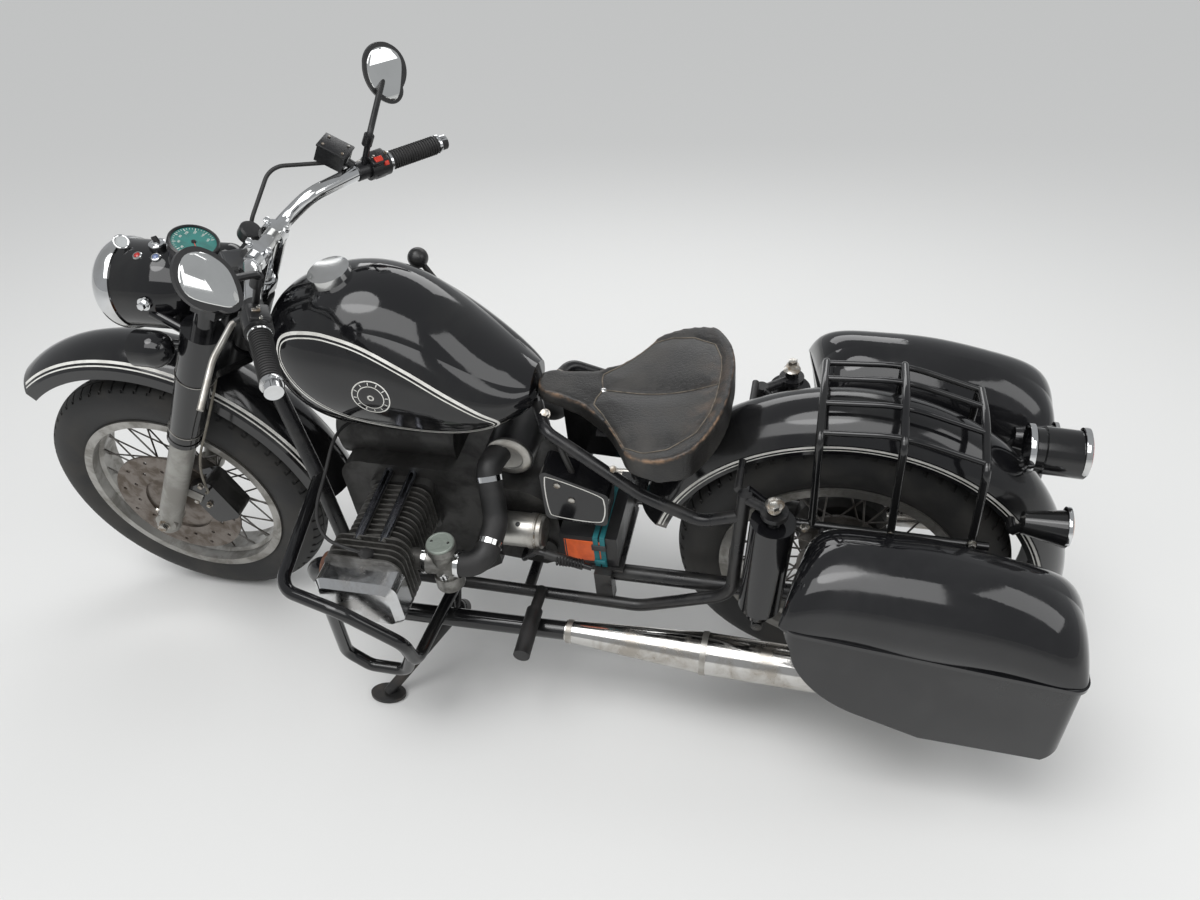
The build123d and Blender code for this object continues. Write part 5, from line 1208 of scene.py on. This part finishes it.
# %% Hose, clips, seals and bolts of the fork
fork = bmesh.new()
hose_path = ((30.0, 66.0, 560.0), (14.0, 96.0, 520.0), (2.0, 132.0, 470.0), (0.0, 140.0, 400.0),
             (2.0, 142.0, 330.0), (-6.0, 138.0, 260.0), (-22.0, 128.0, 200.0), (-24.0, 112.0, 160.0),
             (-12.0, 96.0, 132.0))
add_wire(fork, hose_path, 2.7, 0)
for height, wide in ((520.0, 38.6), (348.0, 34.8)):
    add_ring(fork, wide, 1.1, aimed((leg_x, leg_y, height), UP), 1, 40, 6)
for x, z in ((2.0, 150.0), (-26.0, 96.0), (2.0, 92.0)):
    add_bolt(fork, (x, 94.5, z), (0.0, 1.0, 0.0), 6.0, 2)
for side in (-1, 1):
    add_turned(fork, ((27.0, 0.0), (31.0, 0.0), (31.0, 3.0), (29.0, 9.0), (27.5, 9.0), (27.0, 0.0)),
               aimed((leg_x, side * leg_y, 306.0), UP), 3, 36)
    add_bolt(fork, (leg_x, side * 134.0, 0.0), (0.0, side, 0.0), 11.0, 2)
    add_bolt(fork, (76.0, side * 118.0, 22.0), FORWARD, 5.0, 2)
make_piece("fork_fittings", fork, "steering",
           ["hose_beige", "satin_alloy", "bolt_steel", "black_rubber"], steered)

# %% [markdown]
# ## Fittings on the engine
# Each carburettor has a green lid with two screws and a band clamp at each end, and its intake hose
# has two more clamps. A lead runs from each spark plug over the cylinder to the case. Satin lids close
# the ends of the air cleaner, and a rusty ring lies round each exhaust port. The left side mirrors the
# right, apart from the stagger of the two cylinders, so one loop makes both.

# %% Carburettor lids, clamps and plug leads
engine = bmesh.new()
cylinder_stagger = 19.0
clamp_radius = 27.2
for side in (-1, 1):
    shift = side * cylinder_stagger
    sideways = (0.0, side, 0.0)
    port = Vector((775.7 + shift, side * 256.0, 484.0))
    chamber = port + Vector((-42.0, 0.0, 0.0))
    add_turned(engine, ((0.0, 0.0), (27.5, 0.0), (27.5, 4.0), (25.5, 6.0), (23.0, 6.0), (22.0, 5.0),
                        (0.0, 5.0)), aimed(chamber + Vector((0.0, 0.0, 54.0)), UP), 0, 40)
    for x in (17.0, -17.0):
        add_screw(engine, 2.8, 1.6, aimed(chamber + Vector((x, 0.0, 59.0)), UP), 1)
    for reach in (-4.0, -71.0):
        add_band(engine, clamp_radius - 1.5, clamp_radius + 0.6, 5.0,
                 aimed(port + Vector((reach, 0.0, 0.0)), FORWARD), 1, 36)
        add_block(engine, (9.0, 7.0, 9.0),
                  Matrix.Translation(port + Vector((reach, side * 3.0, clamp_radius + 3.0))), 1, 1.2)
    add_turned(engine, ((0.0, -20.0), (9.0, -20.0), (9.0, -6.0), (7.0, 0.0), (0.0, 1.0)),
               aimed(chamber + Vector((-2.0, side * 29.0, -16.0)), sideways), 1, 20)
    mouth = port + Vector((-74.3, 0.0, 0.0))
    hose_corner = mouth + Vector((-44.0, 0.0, 0.0))
    hose_bend = Vector((mouth.x - 52.0, side * 168.0, 520.0))
    hose_top = Vector((692.0, side * 104.0, 604.0))
    for low, high, share in ((hose_corner, hose_bend, 0.5), (hose_bend, hose_top, 0.80)):
        add_band(engine, 24.2, 26.6, 5.5, aimed(low.lerp(high, share), high - low), 1, 40)
    add_turned(engine, ((0.0, 0.0), (47.0, 0.0), (47.0, 3.0), (43.0, 6.0), (30.0, 7.0), (28.0, 5.0),
                        (0.0, 5.0)), aimed((660.0, side * 62.2, 600.0), sideways), 4, 44)
    plug = Vector((855.0 + shift, side * 316.0, 558.0))
    add_turned(engine, ((0.0, -6.0), (11.0, -6.0), (12.0, 6.0), (9.0, 16.0), (6.0, 22.0), (0.0, 23.0)),
               aimed(plug, (0.25, side * 0.55, 0.8)), 2, 24)
    lead = [plug + Vector((5.0, side * 10.0, 16.0)), plug + Vector((30.0, side * 16.0, 32.0)),
            plug + Vector((78.0, side * 6.0, 38.0)), plug + Vector((116.0, -side * 46.0, 52.0)),
            Vector((996.0, side * 190.0, 632.0)), Vector((1000.0, side * 120.0, 664.0)),
            Vector((984.0, side * 72.0, 668.0)), Vector((962.0, side * 50.0, 652.0))]
    add_wire(engine, lead, 3.4, 2)
    add_band(engine, 26.0, 31.0, 9.0, aimed((964.0 + shift, side * 296.0, 476.0), FORWARD), 3, 32)
make_piece("engine_fittings", engine, "root",
           ["cap_green", "bright_chrome", "black_rubber", "port_rust", "satin_alloy"], upright)

# %% [markdown]
# ## Battery, starter and pedal
# The battery shows an orange face under two teal straps. The starter is a plain can with two bands
# and one screw, and the gear pedal wears a ribbed rubber sleeve.

# %% Battery face, straps, starter bands and pedal sleeve
power = bmesh.new()
add_block(power, (82.0, 1.6, 60.0), Matrix.Translation((508.0, 128.4, 412.0)), 0, 0.6)
add_block(power, (3.0, 2.0, 60.0), Matrix.Translation((546.0, 128.6, 412.0)), 3, 0.6)
for x in (482.0, 468.0):
    add_block(power, (11.0, 3.0, 86.0), Matrix.Translation((x, 130.0, 412.0)), 1, 1.0)
    add_block(power, (11.0, 172.0, 2.4), Matrix.Translation((x, 44.0, 456.4)), 1, 1.0)
add_block(power, (30.0, 5.0, 15.0), Matrix.Translation((476.0, 131.5, 428.0)), 3, 1.5)
add_block(power, (24.0, 6.0, 10.0), Matrix.Translation((476.0, 132.5, 386.0)), 1, 1.5)
for reach, thick in ((600.0, 1.6), (676.0, 1.2)):
    add_ring(power, 35.6, thick, aimed((reach, 128.0, 456.0), (1.0, 0.0, 0.0)), 2, 48, 8)
add_turned(power, ((0.0, -2.0), (5.0, -2.0), (5.0, 0.4), (3.6, 1.4), (0.0, 1.6)),
           aimed((636.0, 143.0, 488.2), (0.0, 0.42, 0.9)), 3, 16)
for i in range(9):
    add_ring(power, 8.6, 1.5, aimed((500.0 + 6.4 * i, 177.0, 429.0), (1.0, 0.0, 0.0)), 4, 20, 6)
make_piece("power_fittings", power, "root",
           ["battery_orange", "strap_teal", "bolt_steel", "box_plastic", "black_rubber"], upright)

# %% [markdown]
# ## Lamps at the rear
# The tail lamp is a black can with a chrome ring at each end. The indicators are smaller cans with one
# ring, at the lens. Each lens is a low coloured dome.

# %% Rear lenses and rings
rear = bmesh.new()
can_radius = 43.2
can_height = 682.0
add_turned(rear, ((0.0, 0.0), (39.0, 0.0), (39.0, 1.5), (34.0, 3.2), (20.0, 4.2), (0.0, 4.6)),
           aimed((-399.4, 0.0, can_height), BACK), 1, 44)
for x in (-304.0, -394.0):
    add_band(rear, can_radius - 2.0, can_radius + 1.2, 5.0, aimed((x, 0.0, can_height), FORWARD), 0, 48,
             can_radius + 1.8)
for side in (-1, 1):
    add_turned(rear, ((0.0, 0.0), (31.0, 0.0), (31.0, 1.5), (26.0, 4.0), (14.0, 6.5), (0.0, 7.2)),
               aimed((-374.5, side * 110.0, 606.0), BACK), 2, 36)
    add_band(rear, 32.0, 35.0, 3.5, aimed((-372.0, side * 110.0, 606.0), FORWARD), 0, 40, 35.4)
make_piece("rear_lenses", rear, "root", ["bright_chrome", "red_lens", "amber_lens"], upright)

# %% [markdown]
# ## Bolts, nuts and clamps
# Small bright hardware marks where the frame's parts are held. A table names each place and the way
# its head faces, and one loop sets a washer and a hexagon head there on both sides. Three satin bands
# ring each silencer.

# %% Frame and shock hardware
hardware = bmesh.new()
bolt_table = (
    # place, way it faces, radius
    ((572.0, 58.0, 718.0), (-0.2, 0.5, 0.85), 8.0),
    ((430.0, 126.0, 655.0), (-0.2, 0.7, 0.70), 6.5),
    ((72.0, 140.0, 568.0), (0.0, 1.0, 0.0), 7.0),
    ((-80.0, 140.0, 568.0), (0.0, 1.0, 0.0), 7.0),
    ((-220.0, 140.0, 568.0), (0.0, 1.0, 0.0), 7.0),
)
for place, way, radius in bolt_table:
    for side in (-1, 1):
        add_bolt(hardware, (place[0], side * place[1], place[2]), (way[0], side * way[1], way[2]), radius, 0)
pipe_front = 540.0
pipe_length = 870.0
pipe_spread = 14.0
pipe_drop = 22.0
for side in (-1, 1):
    add_bolt(hardware, (126.0, side * 199.0, 670.0), UP, 10.0, 0)
    add_turned(hardware, ((0.0, 0.0), (17.0, 0.0), (17.0, 3.0), (12.0, 6.0), (0.0, 6.4)),
               aimed((126.0, side * 186.0, 668.0), UP), 0, 32)
    for x, wide in ((530.0, 24.2), (248.0, 43.8), (-322.0, 43.8)):
        share = (pipe_front - x) / pipe_length
        spot = Vector((x, side * (226.0 + pipe_spread * share), 262.0 - pipe_drop * share))
        add_band(hardware, wide - 2.0, wide + 0.6, 6.0,
                 aimed(spot, (pipe_length, -side * pipe_spread, pipe_drop)), 1, 48, wide + 1.0)
make_piece("frame_hardware", hardware, "root", ["bolt_steel", "satin_alloy"], upright)
